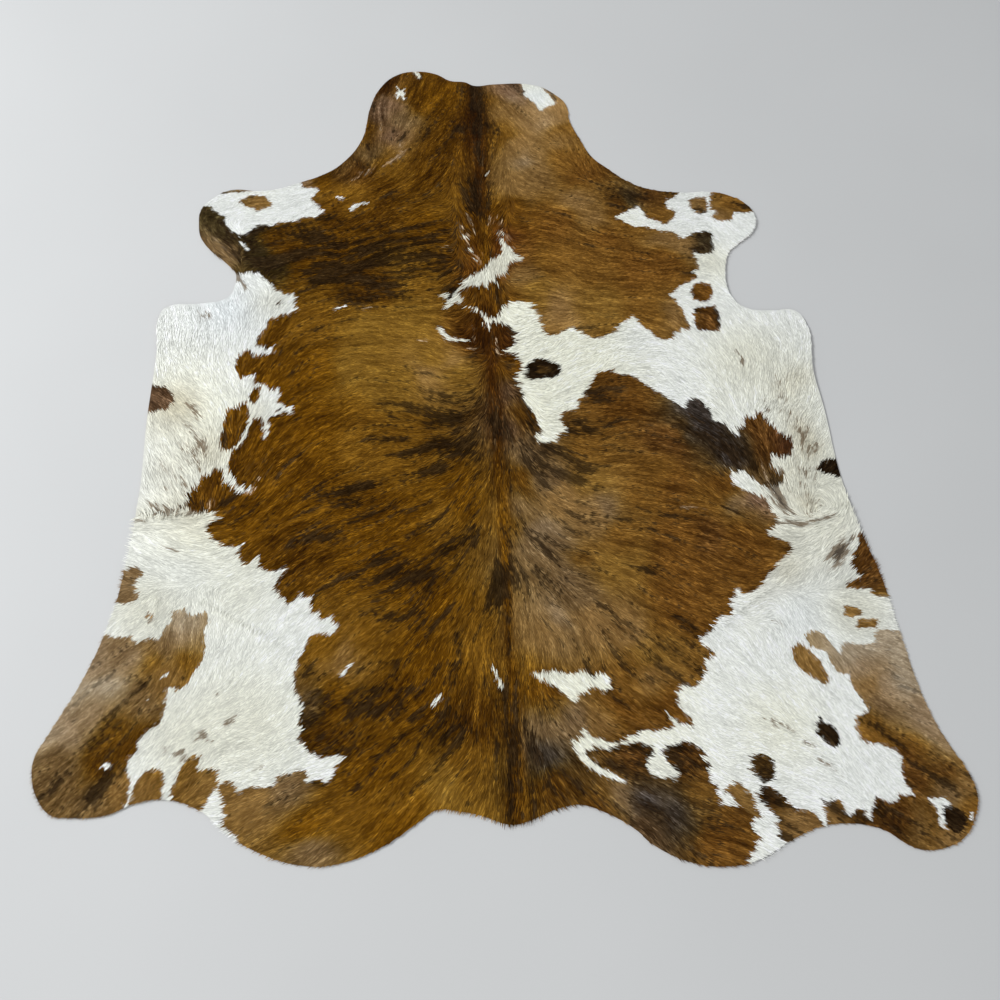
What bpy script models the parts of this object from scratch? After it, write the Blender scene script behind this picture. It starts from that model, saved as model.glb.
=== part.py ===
"""A cowhide rug: one whole hide, tanned with its hair on, lying hair side up.

The hide is a single flat sheet. Its rim follows the animal: neck, forelegs, flanks, hind legs and
rump. A few low folds stay in it where the skin was taken off the round of the flanks and groins.

Metres, +Z up. +Y runs along the back towards the neck and +X towards the animal's right side. The
origin is on the floor, under the middle of the hide's bounding box.
"""

import math

import bmesh
import bpy
from mathutils import Matrix, Vector

CM = 0.01
MM = 0.001

# What the sheet is made of, from the floor up
LEATHER = 2.0 * MM  # the tanned skin
PILE = 3.0 * MM  # the hair, which lies nearly flat on it

# The rim as the knife goes round it, clockwise from the neck's left corner. Each row is one stretch:
# its name, then its points as (x, y) in centimetres. A smooth curve joins them.
RIM_CM = (
    ("neck", (
        (-30, 100), (-27, 107), (-22.5, 111.5), (-16.5, 113), (-10.5, 112), (-6.5, 109.5),
        (-2, 109), (0.5, 107.5), (6, 108), (19, 107.5), (24.5, 104), (27.5, 100),
    )),
    ("right of the neck", (
        (28, 94), (30.5, 87), (33.5, 80.5), (37.5, 76.5), (42.5, 72), (48.5, 69), (57.5, 67.5),
    )),
    ("right foreleg", (
        (67.5, 67.5), (72, 66), (76, 63), (78, 58), (76.5, 53.5), (72.5, 50), (69, 47),
        (67.5, 43.5), (66.5, 37), (67.5, 32), (71, 28.5), (78.5, 27.5),
    )),
    ("right flank", (
        (84, 27.5), (86.5, 24), (86, 8), (87, -3), (87.5, -17), (88.5, -28), (90, -37),
        (93, -49), (94.5, -62), (98, -83),
    )),
    ("right hind leg", (
        (101, -90.5), (103.5, -96), (104.5, -101), (103, -105.5), (100, -109.5), (96, -111.5),
        (90, -112), (87, -111), (82, -107.5),
    )),
    ("right of the rump", (
        (77.5, -106), (72, -105.5), (67, -106), (61.5, -108), (51, -112.5), (44.5, -113),
        (38.5, -112), (29.5, -107.5), (26.5, -104.5), (19, -100),
    )),
    ("tail", (
        (14.5, -98.5), (10, -99), (2.5, -101.5), (-0.5, -102), (-8, -99.5), (-12.5, -98.5),
        (-17, -98), (-20.5, -100),
    )),
    ("left of the rump", (
        (-29, -105), (-38.5, -108), (-45.5, -108), (-56, -104.5), (-63, -100), (-67.5, -96),
        (-74.5, -93), (-81, -93),
    )),
    ("left hind leg", (
        (-88.5, -95.5), (-96.5, -95.5), (-99.5, -95), (-102.5, -92), (-104.5, -87),
        (-104.5, -82.5), (-102.5, -78.5), (-96, -66),
    )),
    ("left flank", (
        (-91, -52), (-89, -42), (-87, -23), (-86.5, 1), (-85.5, 19.5),
    )),
    ("left shoulder", (
        (-85.5, 30.5), (-84, 32.5), (-75, 33.5), (-68, 35.5),
    )),
    ("left foreleg", (
        (-66.5, 39), (-66.5, 43), (-68.5, 45.5), (-76, 54), (-77, 59), (-76.5, 64),
        (-72.5, 68.5), (-68.5, 70.5), (-61.5, 70), (-56.5, 70.5),
    )),
    ("left of the neck", (
        (-49.5, 73), (-44.5, 75), (-38.5, 79), (-32.5, 88),
    )),
)
STEPS_PER_STRETCH_POINT = 5  # straight edges between two points of the rim

# The low folds. Each row is one fold: its name, where its crest starts and ends as (x, y) in
# centimetres, its height in millimetres and its half width in centimetres.
FOLDS = (
    ("left flank", (-88, -24), (-69, -27), 4.0, 3.5),
    ("left groin", (-69, -48), (-46, -64), 2.5, 3.0),
    ("left hind leg", (-83, -46), (-79, -56), 3.0, 3.5),
    ("right flank whorl", (72, -34), (86, -31), 4.0, 3.5),
    ("right flank, upper", (77, -18), (79, -28), 3.0, 3.5),
    ("right groin", (69, -48), (46, -62), 2.5, 3.0),
    ("right hind leg", (80, -57), (77, -68), 3.0, 3.5),
    ("right haunch", (42, -74), (62, -74), 2.0, 3.5),
    ("right of the back", (6, -28), (44, -30), 2.0, 3.5),
    ("crest of the neck", (1, 60), (1.5, 104), 3.0, 4.0),
)

# The sheet that the hide is cut from
BLANK_SIDE = 240 * CM
BLANK_CELL = 3 * CM  # fine enough for the narrowest fold
CUTTER_OVERHANG = 20 * MM  # how far the cutter passes both faces of the blank

HAIR_BROWN = (0.23, 0.12, 0.045, 1.0)
HAIR_ROUGHNESS = 0.7


def collection(name):
    made = bpy.data.collections.new(name)
    bpy.context.scene.collection.children.link(made)
    return made


def coat_material():
    coat = bpy.data.materials.new("coat")
    coat.use_nodes = True
    shader = coat.node_tree.nodes["Principled BSDF"]
    shader.inputs["Base Color"].default_value = HAIR_BROWN
    shader.inputs["Roughness"].default_value = HAIR_ROUGHNESS
    shader.inputs["Metallic"].default_value = 0.0
    coat.diffuse_color = HAIR_BROWN
    return coat


def rim_curve():
    """The hide's outline as a closed flat curve with faces, thick enough to cut with."""
    points = [Vector((x * CM, y * CM, 0)) for _, stretch in RIM_CM for x, y in stretch]
    curve = bpy.data.curves.new("rim", "CURVE")
    curve.dimensions = "2D"
    curve.fill_mode = "BOTH"
    curve.resolution_u = STEPS_PER_STRETCH_POINT
    curve.extrude = (LEATHER + PILE) / 2 + CUTTER_OVERHANG
    spline = curve.splines.new("BEZIER")
    spline.bezier_points.add(len(points) - 1)
    for corner, point in zip(spline.bezier_points, points):
        corner.co = point
        corner.handle_left_type = "AUTO"
        corner.handle_right_type = "AUTO"
    spline.use_cyclic_u = True
    return curve


def rim_cutter(into):
    """The outline as a closed mesh, with its bounding box centred on the Z axis."""
    drawn = bpy.data.objects.new("rim_curve", rim_curve())
    into.objects.link(drawn)
    graph = bpy.context.evaluated_depsgraph_get()
    mesh = bpy.data.meshes.new_from_object(drawn.evaluated_get(graph))
    bpy.data.objects.remove(drawn)

    shape = bmesh.new()
    shape.from_mesh(mesh)
    bmesh.ops.remove_doubles(shape, verts=shape.verts, dist=0.0001)
    xs = [vert.co.x for vert in shape.verts]
    ys = [vert.co.y for vert in shape.verts]
    middle = Vector((min(xs) + max(xs), min(ys) + max(ys), 0)) / 2
    bmesh.ops.translate(shape, verts=shape.verts, vec=-middle)
    bmesh.ops.recalc_face_normals(shape, faces=shape.faces)
    shape.to_mesh(mesh)
    shape.free()

    cutter = bpy.data.objects.new("rim_cutter", mesh)
    cutter.hide_render = True
    cutter.display_type = "WIRE"
    into.objects.link(cutter)
    return cutter


def fold_height(x, y):
    """How much the folds raise the hair side at a point, in metres."""
    spot = Vector((x, y))
    rise = 0.0
    for _, start, end, height, half_width in FOLDS:
        first = Vector(start) * CM
        along = Vector(end) * CM - first
        share = max(0.0, min(1.0, (spot - first).dot(along) / along.length_squared))
        away = (spot - first - along * share).length / (half_width * CM)
        rise += height * MM * math.exp(-away * away)
    return rise


def hide_blank():
    """A square sheet with a flat underside, whose top is a grid of points raised by the folds."""
    sheet = bmesh.new()
    thickness = LEATHER + PILE
    size = Matrix.Diagonal((BLANK_SIDE, BLANK_SIDE, thickness, 1))
    bmesh.ops.create_cube(sheet, size=1, matrix=Matrix.Translation((0, 0, thickness / 2)) @ size)
    top = max(sheet.faces, key=lambda face: face.calc_center_median().z)
    bmesh.ops.subdivide_edges(
        sheet, edges=list(top.edges), cuts=round(BLANK_SIDE / BLANK_CELL) - 1, use_grid_fill=True
    )
    for vert in sheet.verts:
        if vert.co.z > thickness / 2:
            vert.co.z += fold_height(vert.co.x, vert.co.y)
    mesh = bpy.data.meshes.new("cowhide")
    sheet.to_mesh(mesh)
    sheet.free()
    return mesh


def cowhide(into, cutter):
    hide = bpy.data.objects.new("cowhide", hide_blank())
    hide.data.materials.append(coat_material())
    into.objects.link(hide)
    trim = hide.modifiers.new("trim to the rim", "BOOLEAN")
    trim.operation = "INTERSECT"
    trim.solver = "EXACT"
    trim.object = cutter
    return hide


def main():
    for obj in list(bpy.data.objects):
        bpy.data.objects.remove(obj)
    rug = collection("cowhide rug")
    cutters = collection("cutters")
    cutters.hide_render = True
    cowhide(rug, rim_cutter(cutters))


main()
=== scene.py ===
# %% [markdown]
# A cowhide rug is one whole hide, tanned with its hair on, so there is nothing to sew or fit. What
# the eye reads is the outline that the knife left, the white and brown patches, the way the hair
# runs over the body, and a few soft folds. The solid model gives the outline, the thickness and the
# folds. This script lays a thinner skin in its place and grows more than two hundred thousand small
# locks of hair on it. A painted sheet would look right from straight above, but its borders would
# be drawn lines, where on a real hide they are made of overlapping tips.

import math

import bmesh
import bpy
import numpy as np
from mathutils import Matrix, Vector
from mathutils.geometry import delaunay_2d_cdt


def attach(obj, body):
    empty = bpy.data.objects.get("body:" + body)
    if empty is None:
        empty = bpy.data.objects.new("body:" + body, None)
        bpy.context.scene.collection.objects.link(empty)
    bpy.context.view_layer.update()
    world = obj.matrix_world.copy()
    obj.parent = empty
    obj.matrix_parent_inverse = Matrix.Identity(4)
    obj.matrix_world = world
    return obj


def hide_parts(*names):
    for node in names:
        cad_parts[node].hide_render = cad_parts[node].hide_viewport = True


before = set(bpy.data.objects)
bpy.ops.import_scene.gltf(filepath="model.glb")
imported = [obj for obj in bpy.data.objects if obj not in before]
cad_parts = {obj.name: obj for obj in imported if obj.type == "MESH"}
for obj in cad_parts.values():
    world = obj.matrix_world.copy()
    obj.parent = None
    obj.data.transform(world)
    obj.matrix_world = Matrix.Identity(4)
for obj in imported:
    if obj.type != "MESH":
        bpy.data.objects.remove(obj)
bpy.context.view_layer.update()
CM = 0.01
MM = 0.001
MM_IN_CM = 0.1

# %% [markdown]
# The camera comes first, so that every later step can be judged through it. It stands at the tail
# end, a little to the left, at about head height, and looks steeply down. Its three directions were
# worked out from the straight joints of the floor that the hide was photographed on. A lens as long
# as the sensor is wide gives the view of a phone.

# %% Camera
CAMERA_PLACE = Vector((-0.150, -1.180, 2.290))
CAMERA_RIGHT = Vector((0.997321, -0.055897, 0.047185))
CAMERA_UP = Vector((0.034007, 0.925395, 0.377476))
SENSOR = 36.0

camera_data = bpy.data.cameras.new("camera")
camera_data.sensor_width = SENSOR
camera_data.lens = SENSOR
camera = bpy.data.objects.new("camera", camera_data)
bpy.context.scene.collection.objects.link(camera)
turn = Matrix((CAMERA_RIGHT, CAMERA_UP, CAMERA_RIGHT.cross(CAMERA_UP))).transposed()
camera.matrix_world = Matrix.Translation(CAMERA_PLACE) @ turn.to_4x4()
bpy.context.scene.camera = camera
print("camera stands at", [round(value, 3) for value in camera.location])

# %% [markdown]
# Everything that varies over the hide is worked out with arrays, many points at a time, in
# centimetres. The one thing that all of it needs is a repeatable roughness. `grain` is such a
# noise: a fixed table of random numbers, read at any place and blended smoothly between its cells.

# %% Repeatable noise
TABLE_SIDE = 64


def smooth(share):
    share = np.clip(share, 0.0, 1.0)
    return share * share * (3.0 - 2.0 * share)


def read_table(table, across, up):
    """The table's value at places between its cells. Past an edge it starts again."""
    column, row = np.floor(across).astype(int), np.floor(up).astype(int)
    across, up = smooth(across - column), smooth(up - row)
    left, right = column % table.shape[0], (column + 1) % table.shape[0]
    low, high = row % table.shape[1], (row + 1) % table.shape[1]
    lower = table[left, low] * (1 - across) + table[right, low] * across
    upper = table[left, high] * (1 - across) + table[right, high] * across
    return lower * (1 - up) + upper * up


def grain(x, y, cell, seed):
    """Smooth noise from -1 to 1 with bumps about `cell` centimetres wide."""
    table = np.random.default_rng(seed).random((TABLE_SIDE, TABLE_SIDE)) * 2.0 - 1.0
    return read_table(table, x / cell, y / cell)


# %% [markdown]
# The rim is taken from the solid hide, so that the skin ends where the solid does. The solid's
# underside lies flat on the floor: the edges that only one of its flat faces uses are the rim. They
# are walked into one closed line, which is then divided into even steps.

# %% Rim of the hide
RIM_STEP = 0.9  # centimetres between two points of the skin's rim
FLAT = 0.01 * MM  # a point nearer to the floor than this lies on it


def rim_of(solid):
    """The solid's rim on the floor, as an array of (x, y) in centimetres."""
    shape = bmesh.new()
    shape.from_mesh(solid.data)
    bmesh.ops.remove_doubles(shape, verts=shape.verts, dist=FLAT)
    under = {face for face in shape.faces if max(abs(v.co.z) for v in face.verts) < FLAT}
    neighbours = {}
    for edge in shape.edges:
        if sum(face in under for face in edge.link_faces) == 1:
            first, last = edge.verts
            neighbours.setdefault(first.index, []).append(last.index)
            neighbours.setdefault(last.index, []).append(first.index)
    shape.verts.ensure_lookup_table()
    start = min(neighbours)
    walk = [start, neighbours[start][0]]
    while True:
        onward = [near for near in neighbours[walk[-1]] if near != walk[-2]][0]
        if onward == start:
            break
        walk.append(onward)
    line = np.array([shape.verts[index].co[:2] for index in walk]) / CM
    shape.free()
    return line


def even_steps(line, step):
    """The same closed line with points about `step` apart, anticlockwise."""
    x, y = line[:, 0], line[:, 1]
    if np.sum(x * np.roll(y, -1) - np.roll(x, -1) * y) < 0:
        line = line[::-1]
    closed = np.vstack([line, line[:1]])
    gone = np.concatenate([[0], np.cumsum(np.hypot(*np.diff(closed, axis=0).T))])
    count = round(gone[-1] / step)
    wanted = np.arange(count) * gone[-1] / count
    return np.stack([np.interp(wanted, gone, closed[:, axis]) for axis in (0, 1)], 1)


rim = even_steps(rim_of(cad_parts["cowhide"]), RIM_STEP)
print("rim:", len(rim), "points, reaching", rim.min(0).round(1), "to", rim.max(0).round(1))


# %% Which points lie inside a closed line
def inside(x, y, line):
    """True for each point that a line of (x, y) corners goes round."""
    line = np.asarray(line, float)
    found = np.zeros(x.shape, bool)
    near = (x > line[:, 0].min()) & (x < line[:, 0].max())
    near &= (y > line[:, 1].min()) & (y < line[:, 1].max())
    px, py = x[near], y[near]
    crossed = np.zeros(px.shape, bool)
    for (ax, ay), (bx, by) in zip(line, np.roll(line, -1, axis=0)):
        if ay == by:
            continue
        spans = (ay > py) != (by > py)
        crossed ^= spans & (px < (bx - ax) * (py - ay) / (by - ay) + ax)
    found[near] = crossed
    return found


# %% How far a point lies in from the rim
DEPTH_SIDE = 240  # the table's cells are one centimetre wide


def depth_table():
    """How far in from the rim each cell lies, in centimetres. Outside it counts below zero."""
    x, y = np.meshgrid(*[np.arange(DEPTH_SIDE) - DEPTH_SIDE / 2] * 2, indexing="ij")
    nearest = np.full(x.shape, np.inf)
    for px, py in rim:
        nearest = np.minimum(nearest, (x - px) ** 2 + (y - py) ** 2)
    return np.sqrt(nearest) * np.where(inside(x, y, rim), 1, -1)


depths = depth_table()
print("deepest point:", round(float(depths.max()), 1), "cm in from the rim")

# %% [markdown]
# Hair grows from the spine outwards and towards the tail, runs down the legs, and turns in a whorl
# at each flank. A hide can't be combed another way, so this direction decides how every lock lies,
# how the borders of the patches are frayed and how the dark stripes run. It is given at a few
# places, with the hair's length there, and every other point takes the mean of the places
# near it.

# %% Which way the hair runs
# Each row is a line across the hide: how far up it lies, then places along it with the direction
# there in degrees. 0 is to the animal's right, -90 to its tail and 180 to its left.
HAIR_RUNS = (
    (107, ((-24, -110), (-12, -115), (1, -90), (12, -55), (22, -55))),
    (97, ((-28, -93), (-18, -110), (-8, -125), (1, -90), (10, -55), (19, -50), (26, -75))),
    (87, ((-30, -85), (-18, -120), (-8, -128), (1, -90), (5, -112), (12, -48), (20, -35), (29, -70))),
    (79, ((-35, -115), (-22, -140), (-9, -130), (-3, -80), (1, -90), (5, -125), (13, -35), (22, -28),
        (32, -70))),
    (71, ((-42, -150), (-28, -146), (-12, -146), (-4, -65), (1, -90), (6, -120), (13, -25), (24, -14),
        (40, -30))),
    (64, ((-70, -150), (-60, -170), (-48, -148), (-34, -146), (-20, -155), (-10, -170), (-4, -55),
        (1, -90), (6, -125), (12, -5), (22, -14), (36, -12), (52, -15), (64, 0), (74, -20))),
    (56, ((-76, -57), (-69, -40), (-60, -162), (-46, -166), (-30, -156), (-18, -168), (-9, 180),
        (-4, -52), (1, -90), (5, -130), (11, 5), (20, -20), (32, -25), (44, -12), (56, -12), (70, -50))),
    (48, ((-69, -50), (-60, 175), (-48, -172), (-32, -163), (-18, -170), (-9, 175), (-4, -45),
        (1.5, -90), (5, -120), (11, 8), (21, -15), (34, -13), (46, -15), (56, -5), (66, -60))),
    (40, ((-68, -60), (-61, -50), (-52, -170), (-40, 180), (-28, 173), (-16, -172), (-7, -150),
        (1.5, -90), (10, 0), (22, -18), (34, -4), (50, 0), (60, -10), (66, -70))),
    (32, ((-80, -70), (-68, -62), (-60, -100), (-52, -132), (-44, -160), (-32, -178), (-14, 180),
        (-6, -145), (1.5, -90), (10, -10), (22, -20), (36, -4), (48, -8), (58, -25), (74, -60))),
    (24, ((-84, -74), (-75, -88), (-67, -90), (-60, -112), (-52, -130), (-44, -154), (-34, -172),
        (-24, 172), (-11, 155), (1.5, -90), (9, 10), (22, 12), (34, 4), (44, -20), (52, -47), (62, -58),
        (80, -70))),
    (16, ((-84, -72), (-76, -60), (-67, -68), (-60, -116), (-50, -140), (-40, -165), (-28, 172),
        (-16, 162), (-6, 170), (9, 18), (20, 32), (30, 24), (40, 2), (50, -42), (60, -60), (70, -82),
        (80, -93))),
    (8, ((-84, -45), (-76, -42), (-67, -62), (-60, -108), (-50, -140), (-38, -154), (-26, 172),
        (-15, 155), (-6, 175), (1.5, -90), (8, 10), (18, 36), (28, 24), (38, -6), (50, -38), (62, -72),
        (72, -100), (82, -115))),
    (0, ((-85, -55), (-76, -38), (-68, -80), (-60, -110), (-50, -142), (-38, -154), (-26, 176),
        (-15, 163), (-8, 175), (-4, -140), (1.5, -90), (7, -65), (18, 15), (30, 2), (42, -18), (54, -42),
        (64, -78), (74, -118), (84, -122))),
    (-8, ((-84, -66), (-76, -55), (-68, -95), (-60, -117), (-48, -144), (-36, -158), (-22, 180),
        (-12, -172), (-6, -135), (1.5, -90), (8, -58), (16, -12), (28, 6), (42, -14), (54, -38),
        (64, -66), (76, -110), (84, -118))),
    (-16, ((-84, -70), (-76, -62), (-69, -100), (-60, -123), (-48, -141), (-36, -154), (-22, -163),
        (-12, -150), (-5, -127), (1.5, -90), (8, -58), (14, -35), (26, -5), (40, -4), (50, -22),
        (60, -56), (70, -80), (78, -102), (86, -120))),
    (-22, ((-88, -35), (-82, -48), (-76, -62), (-71, -90), (-62, -130), (-50, -142), (-38, -160),
        (-18, -158), (-6, -128), (2, -86), (9, -55), (17, -38), (28, -12), (42, -14), (54, -40),
        (66, -60), (74, -82), (80, -108), (86, -150))),
    (-28, ((-90, 178), (-82, 172), (-75, 170), (-68, -165), (-58, -140), (-44, -152), (-20, -155),
        (-6, -126), (2, -84), (9, -52), (20, -20), (36, -14), (50, -22), (62, -46), (70, -58), (76, -80),
        (80, -120), (84, 125), (88, 90))),
    (-34, ((-90, 165), (-82, 152), (-74, 160), (-66, -162), (-56, -141), (-42, -152), (-24, -152),
        (-10, -142), (-4, -120), (2, -81), (10, -50), (20, -20), (36, -16), (50, -18), (62, -36),
        (69, -30), (75, -8), (81, 12), (87, 55))),
    (-41, ((-86, 160), (-78, 158), (-69, 178), (-60, -146), (-46, -147), (-30, -154), (-14, -142),
        (-4, -122), (2, -80), (9, -50), (19, -20), (34, -26), (48, -22), (60, -27), (67, -8), (75, 18),
        (82, 42), (88, 50))),
    (-48, ((-88, -150), (-78, -120), (-69, -75), (-60, -140), (-44, -146), (-28, -155), (-12, -136),
        (-4, -118), (4, -85), (12, -46), (24, -26), (40, -27), (54, -24), (61, -8), (67, 24), (76, 48),
        (86, 32))),
    (-56, ((-94, -140), (-84, -138), (-76, -85), (-68, -90), (-60, -113), (-50, -133), (-32, -143),
        (-14, -132), (-4, -112), (4, -80), (12, -48), (26, -42), (42, -30), (54, -20), (61, 15),
        (68, -75), (77, -50), (88, -15))),
    (-64, ((-94, -146), (-84, -144), (-76, -120), (-68, -112), (-56, -128), (-38, -137), (-20, -130),
        (-11, -108), (-2, -95), (8, -88), (19, -72), (30, -44), (42, -30), (52, -54), (61, -74),
        (69, -86), (78, -52), (88, -18))),
    (-73, ((-98, -133), (-84, -132), (-75, -124), (-64, -148), (-50, -138), (-36, -140), (-20, -138),
        (-11, -110), (-2, -97), (5, -88), (13, -42), (28, -42), (44, -38), (58, -48), (70, -50),
        (79, -58), (92, -32))),
    (-81, ((-98, -136), (-84, -135), (-70, -138), (-58, -163), (-48, -150), (-32, -144), (-16, -132),
        (-2, -93), (5, -87), (12, -50), (26, -36), (40, -46), (54, -28), (68, -45), (80, -50),
        (94, -36))),
    (-89, ((-98, -136), (-84, -125), (-72, -140), (-60, -168), (-44, -158), (-30, -142), (-12, -131),
        (-2, -97), (5, -88), (12, -47), (26, -32), (40, -36), (52, -8), (64, -24), (77, -60), (90, -34))),
    (-97, ((-66, -165), (-54, -150), (-40, -152), (-26, -140), (-10, -125), (2, -92), (12, -43),
        (30, -36), (46, -25), (58, -20), (70, -25), (82, -50), (98, -33))),
    (-106, ((-50, -160), (-40, -145), (36, -46), (46, -20), (60, -26), (74, -35), (90, -38))),
)
# How long the hair is: a place in centimetres, and the length there in millimetres
HAIR_LENGTHS = (
    ((1, 100), 12), ((1, 80), 18), ((1, 60), 26), ((1, 40), 26), ((1.5, 0), 22), ((1.5, -60), 20),
    ((1.5, -95), 22), ((-22, 95), 10), ((20, 95), 10), ((-12, 100), 11), ((30, 90), 10), ((-30, 90), 10),
    ((-15, 78), 14), ((15, 78), 13), ((-15, 65), 17), ((15, 65), 15), ((-40, 50), 19), ((40, 50), 13),
    ((-45, 72), 10), ((40, 70), 11), ((-70, 64), 10), ((-55, 66), 10), ((-60, 50), 15), ((-73, 50), 26),
    ((72, 62), 10), ((52, 60), 10), ((60, 50), 11), ((60, 35), 11), ((65, 25), 15), ((-65, 30), 17),
    ((-75, 18), 20), ((-30, 20), 16), ((30, 15), 17), ((-50, 0), 18), ((-78, 0), 25), ((75, 5), 23),
    ((-80, -20), 30), ((78, -22), 28), ((-80, -34), 25), ((80, -38), 24), ((-50, -30), 19),
    ((40, -20), 16), ((-25, -40), 18), ((20, -50), 18), ((50, -50), 17), ((-76, -46), 11),
    ((76, -54), 12), ((-55, -50), 15), ((55, -62), 15), ((-60, -65), 13), ((70, -75), 13),
    ((-35, -98), 17), ((40, -100), 17), ((-90, -70), 11), ((90, -75), 11), ((-98, -88), 12),
    ((98, -98), 12), ((86, -19.5), 11), ((-84, 5), 13),
)
SWAY = 0.16  # how far the direction wanders from the table, in radians
FINE_SWAY = 0.8 * SWAY  # the same over shorter distances
# The larger these are, in square centimetres, the more softly one place runs into the next
RUN_BLEND = 6.0
LENGTH_BLEND = 20.0


def mean_of(x, y, places, spread):
    """The mean of values given at places, each point weighing the near ones most."""
    mixed, total = np.zeros(x.shape + (len(places[0][1]),)), np.zeros(x.shape)
    for (px, py), value in places:
        near = 1.0 / ((x - px) ** 2 + (y - py) ** 2 + spread) ** 2
        mixed += near[..., None] * np.array(value)
        total += near
    return mixed / total[..., None]


def combing(x, y):
    """The hair's direction at each point, as how far east and how far north it goes."""
    ways = [
        ((px, row), (math.cos(math.radians(way)), math.sin(math.radians(way))))
        for row, places in HAIR_RUNS for px, way in places
    ]
    east, north = mean_of(x, y, ways, RUN_BLEND).T
    angle = np.arctan2(north, east)
    angle += SWAY * grain(x, y, cell=6.0, seed=1) + FINE_SWAY * grain(x, y, cell=2.2, seed=2)
    return np.cos(angle), np.sin(angle)


def length_at(x, y):
    """The hair's length at each point, in centimetres."""
    places = [(place, (millimetres,)) for place, millimetres in HAIR_LENGTHS]
    return MM_IN_CM * mean_of(x, y, places, LENGTH_BLEND)[:, 0]


print("hair runs as", sum(len(places) for _, places in HAIR_RUNS), "places say")

# %% [markdown]
# A skin that was round on the animal never lies quite flat. The folds below are those of the solid
# model, so the hair rides over them at the same places. To them come fine creases, a slow wave in
# the leather, and spots where the rim curls up from the floor by a few millimetres and throws the
# thin shadow that shows it is a separate sheet.

# %% Height of the skin over the floor
# The folds of the solid: start and end of the crest in centimetres, height in millimetres, half
# width in centimetres
FOLDS = (
    ((-88, -24), (-69, -27), 4.0, 3.5),
    ((-69, -48), (-46, -64), 2.5, 3.0),
    ((-83, -46), (-79, -56), 3.0, 3.5),
    ((72, -34), (86, -31), 4.0, 3.5),
    ((77, -18), (79, -28), 3.0, 3.5),
    ((69, -48), (46, -62), 2.5, 3.0),
    ((80, -57), (77, -68), 3.0, 3.5),
    ((42, -74), (62, -74), 2.0, 3.5),
    ((6, -28), (44, -30), 2.0, 3.5),
    ((1, 60), (1.5, 104), 3.0, 4.0),
)
# Narrow creases on top of them, in the same columns
CREASES = (
    ((-87, -24.5), (-74, -26), 2.0, 1.1), ((68, -32.5), (78, -34.5), 2.0, 1.1),
    ((78, -34.5), (86, -31), 1.5, 1.1), ((69, -48), (52, -59), 1.8, 0.8),
    ((-70, -48), (-55, -57), 1.8, 0.8), ((-80, -47), (-80.5, -53), 2.0, 0.7),
    ((12, -31), (60, -31), 1.5, 1.2), ((-34, 74.5), (-21, 81.5), 2.0, 1.0),
)
# Where the rim curls up: a place and how far round it in centimetres, then how high in millimetres
CURLED_RIM = (
    ((-77, 62), 7, 2.5), ((77, 58), 7, 4.5), ((86, 10), 16, 5.0), ((89, -36), 9, 4.5),
    ((103, -100), 10, 3.5), ((-103, -86), 10, 2.0), ((-86, 20), 10, 2.0), ((-80, 33), 8, 2.5),
    ((50, -112), 10, 2.0), ((-20, 112), 10, 2.0), ((68, 36), 8, 3.5), ((-88, -40), 9, 2.0),
)
# Everything below is in centimetres.
LEATHER = 0.2
WAVE = 0.05  # a slow wave of the whole skin
RIPPLE = 0.02  # and a shorter one
CURL_WIDTH = 1.4  # how far in from the rim the leather lifts
LEAST_CURL = 0.08  # how far it lifts there everywhere
MORE_CURL = 0.12  # how much more in places
SLOPE_STEP = 0.4  # the slope is measured this far to each side of a point


def beside(x, y, start, end):
    """How far each point is from a straight stroke."""
    (ax, ay), (bx, by) = start, end
    dx, dy = bx - ax, by - ay
    share = np.clip(((x - ax) * dx + (y - ay) * dy) / (dx * dx + dy * dy), 0, 1)
    return np.hypot(x - ax - share * dx, y - ay - share * dy)


def relief(x, y):
    """How far the underside of the skin stands off the floor, in centimetres."""
    rise = WAVE * (1.0 + grain(x, y, cell=22.0, seed=5))
    rise += RIPPLE * (1.0 + grain(x, y, cell=7.0, seed=6))
    depth = read_table(depths, x + DEPTH_SIDE / 2, y + DEPTH_SIDE / 2)
    curl = LEAST_CURL + MORE_CURL * np.maximum(grain(x, y, cell=9.0, seed=7), 0)
    rise += curl * np.exp(-((np.maximum(depth, 0) / CURL_WIDTH) ** 2))
    for start, end, height, half in FOLDS + CREASES:
        away = beside(x, y, start, end) / half
        rise += MM_IN_CM * height * np.exp(-away * away)
    for (px, py), half, height in CURLED_RIM:
        rise += MM_IN_CM * height * np.exp(-((x - px) ** 2 + (y - py) ** 2) / half**2)
    return rise


def slope(x, y):
    """The skin's upward direction at each point."""
    step = SLOPE_STEP
    east = (relief(x + step, y) - relief(x - step, y)) / (2 * step)
    north = (relief(x, y + step) - relief(x, y - step)) / (2 * step)
    size = np.sqrt(1 + east**2 + north**2)
    return np.stack([-east / size, -north / size, 1 / size], -1)


print("highest fold:", round(float(relief(rim[:, 0], rim[:, 1]).max()), 2), "cm at the rim")
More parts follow.
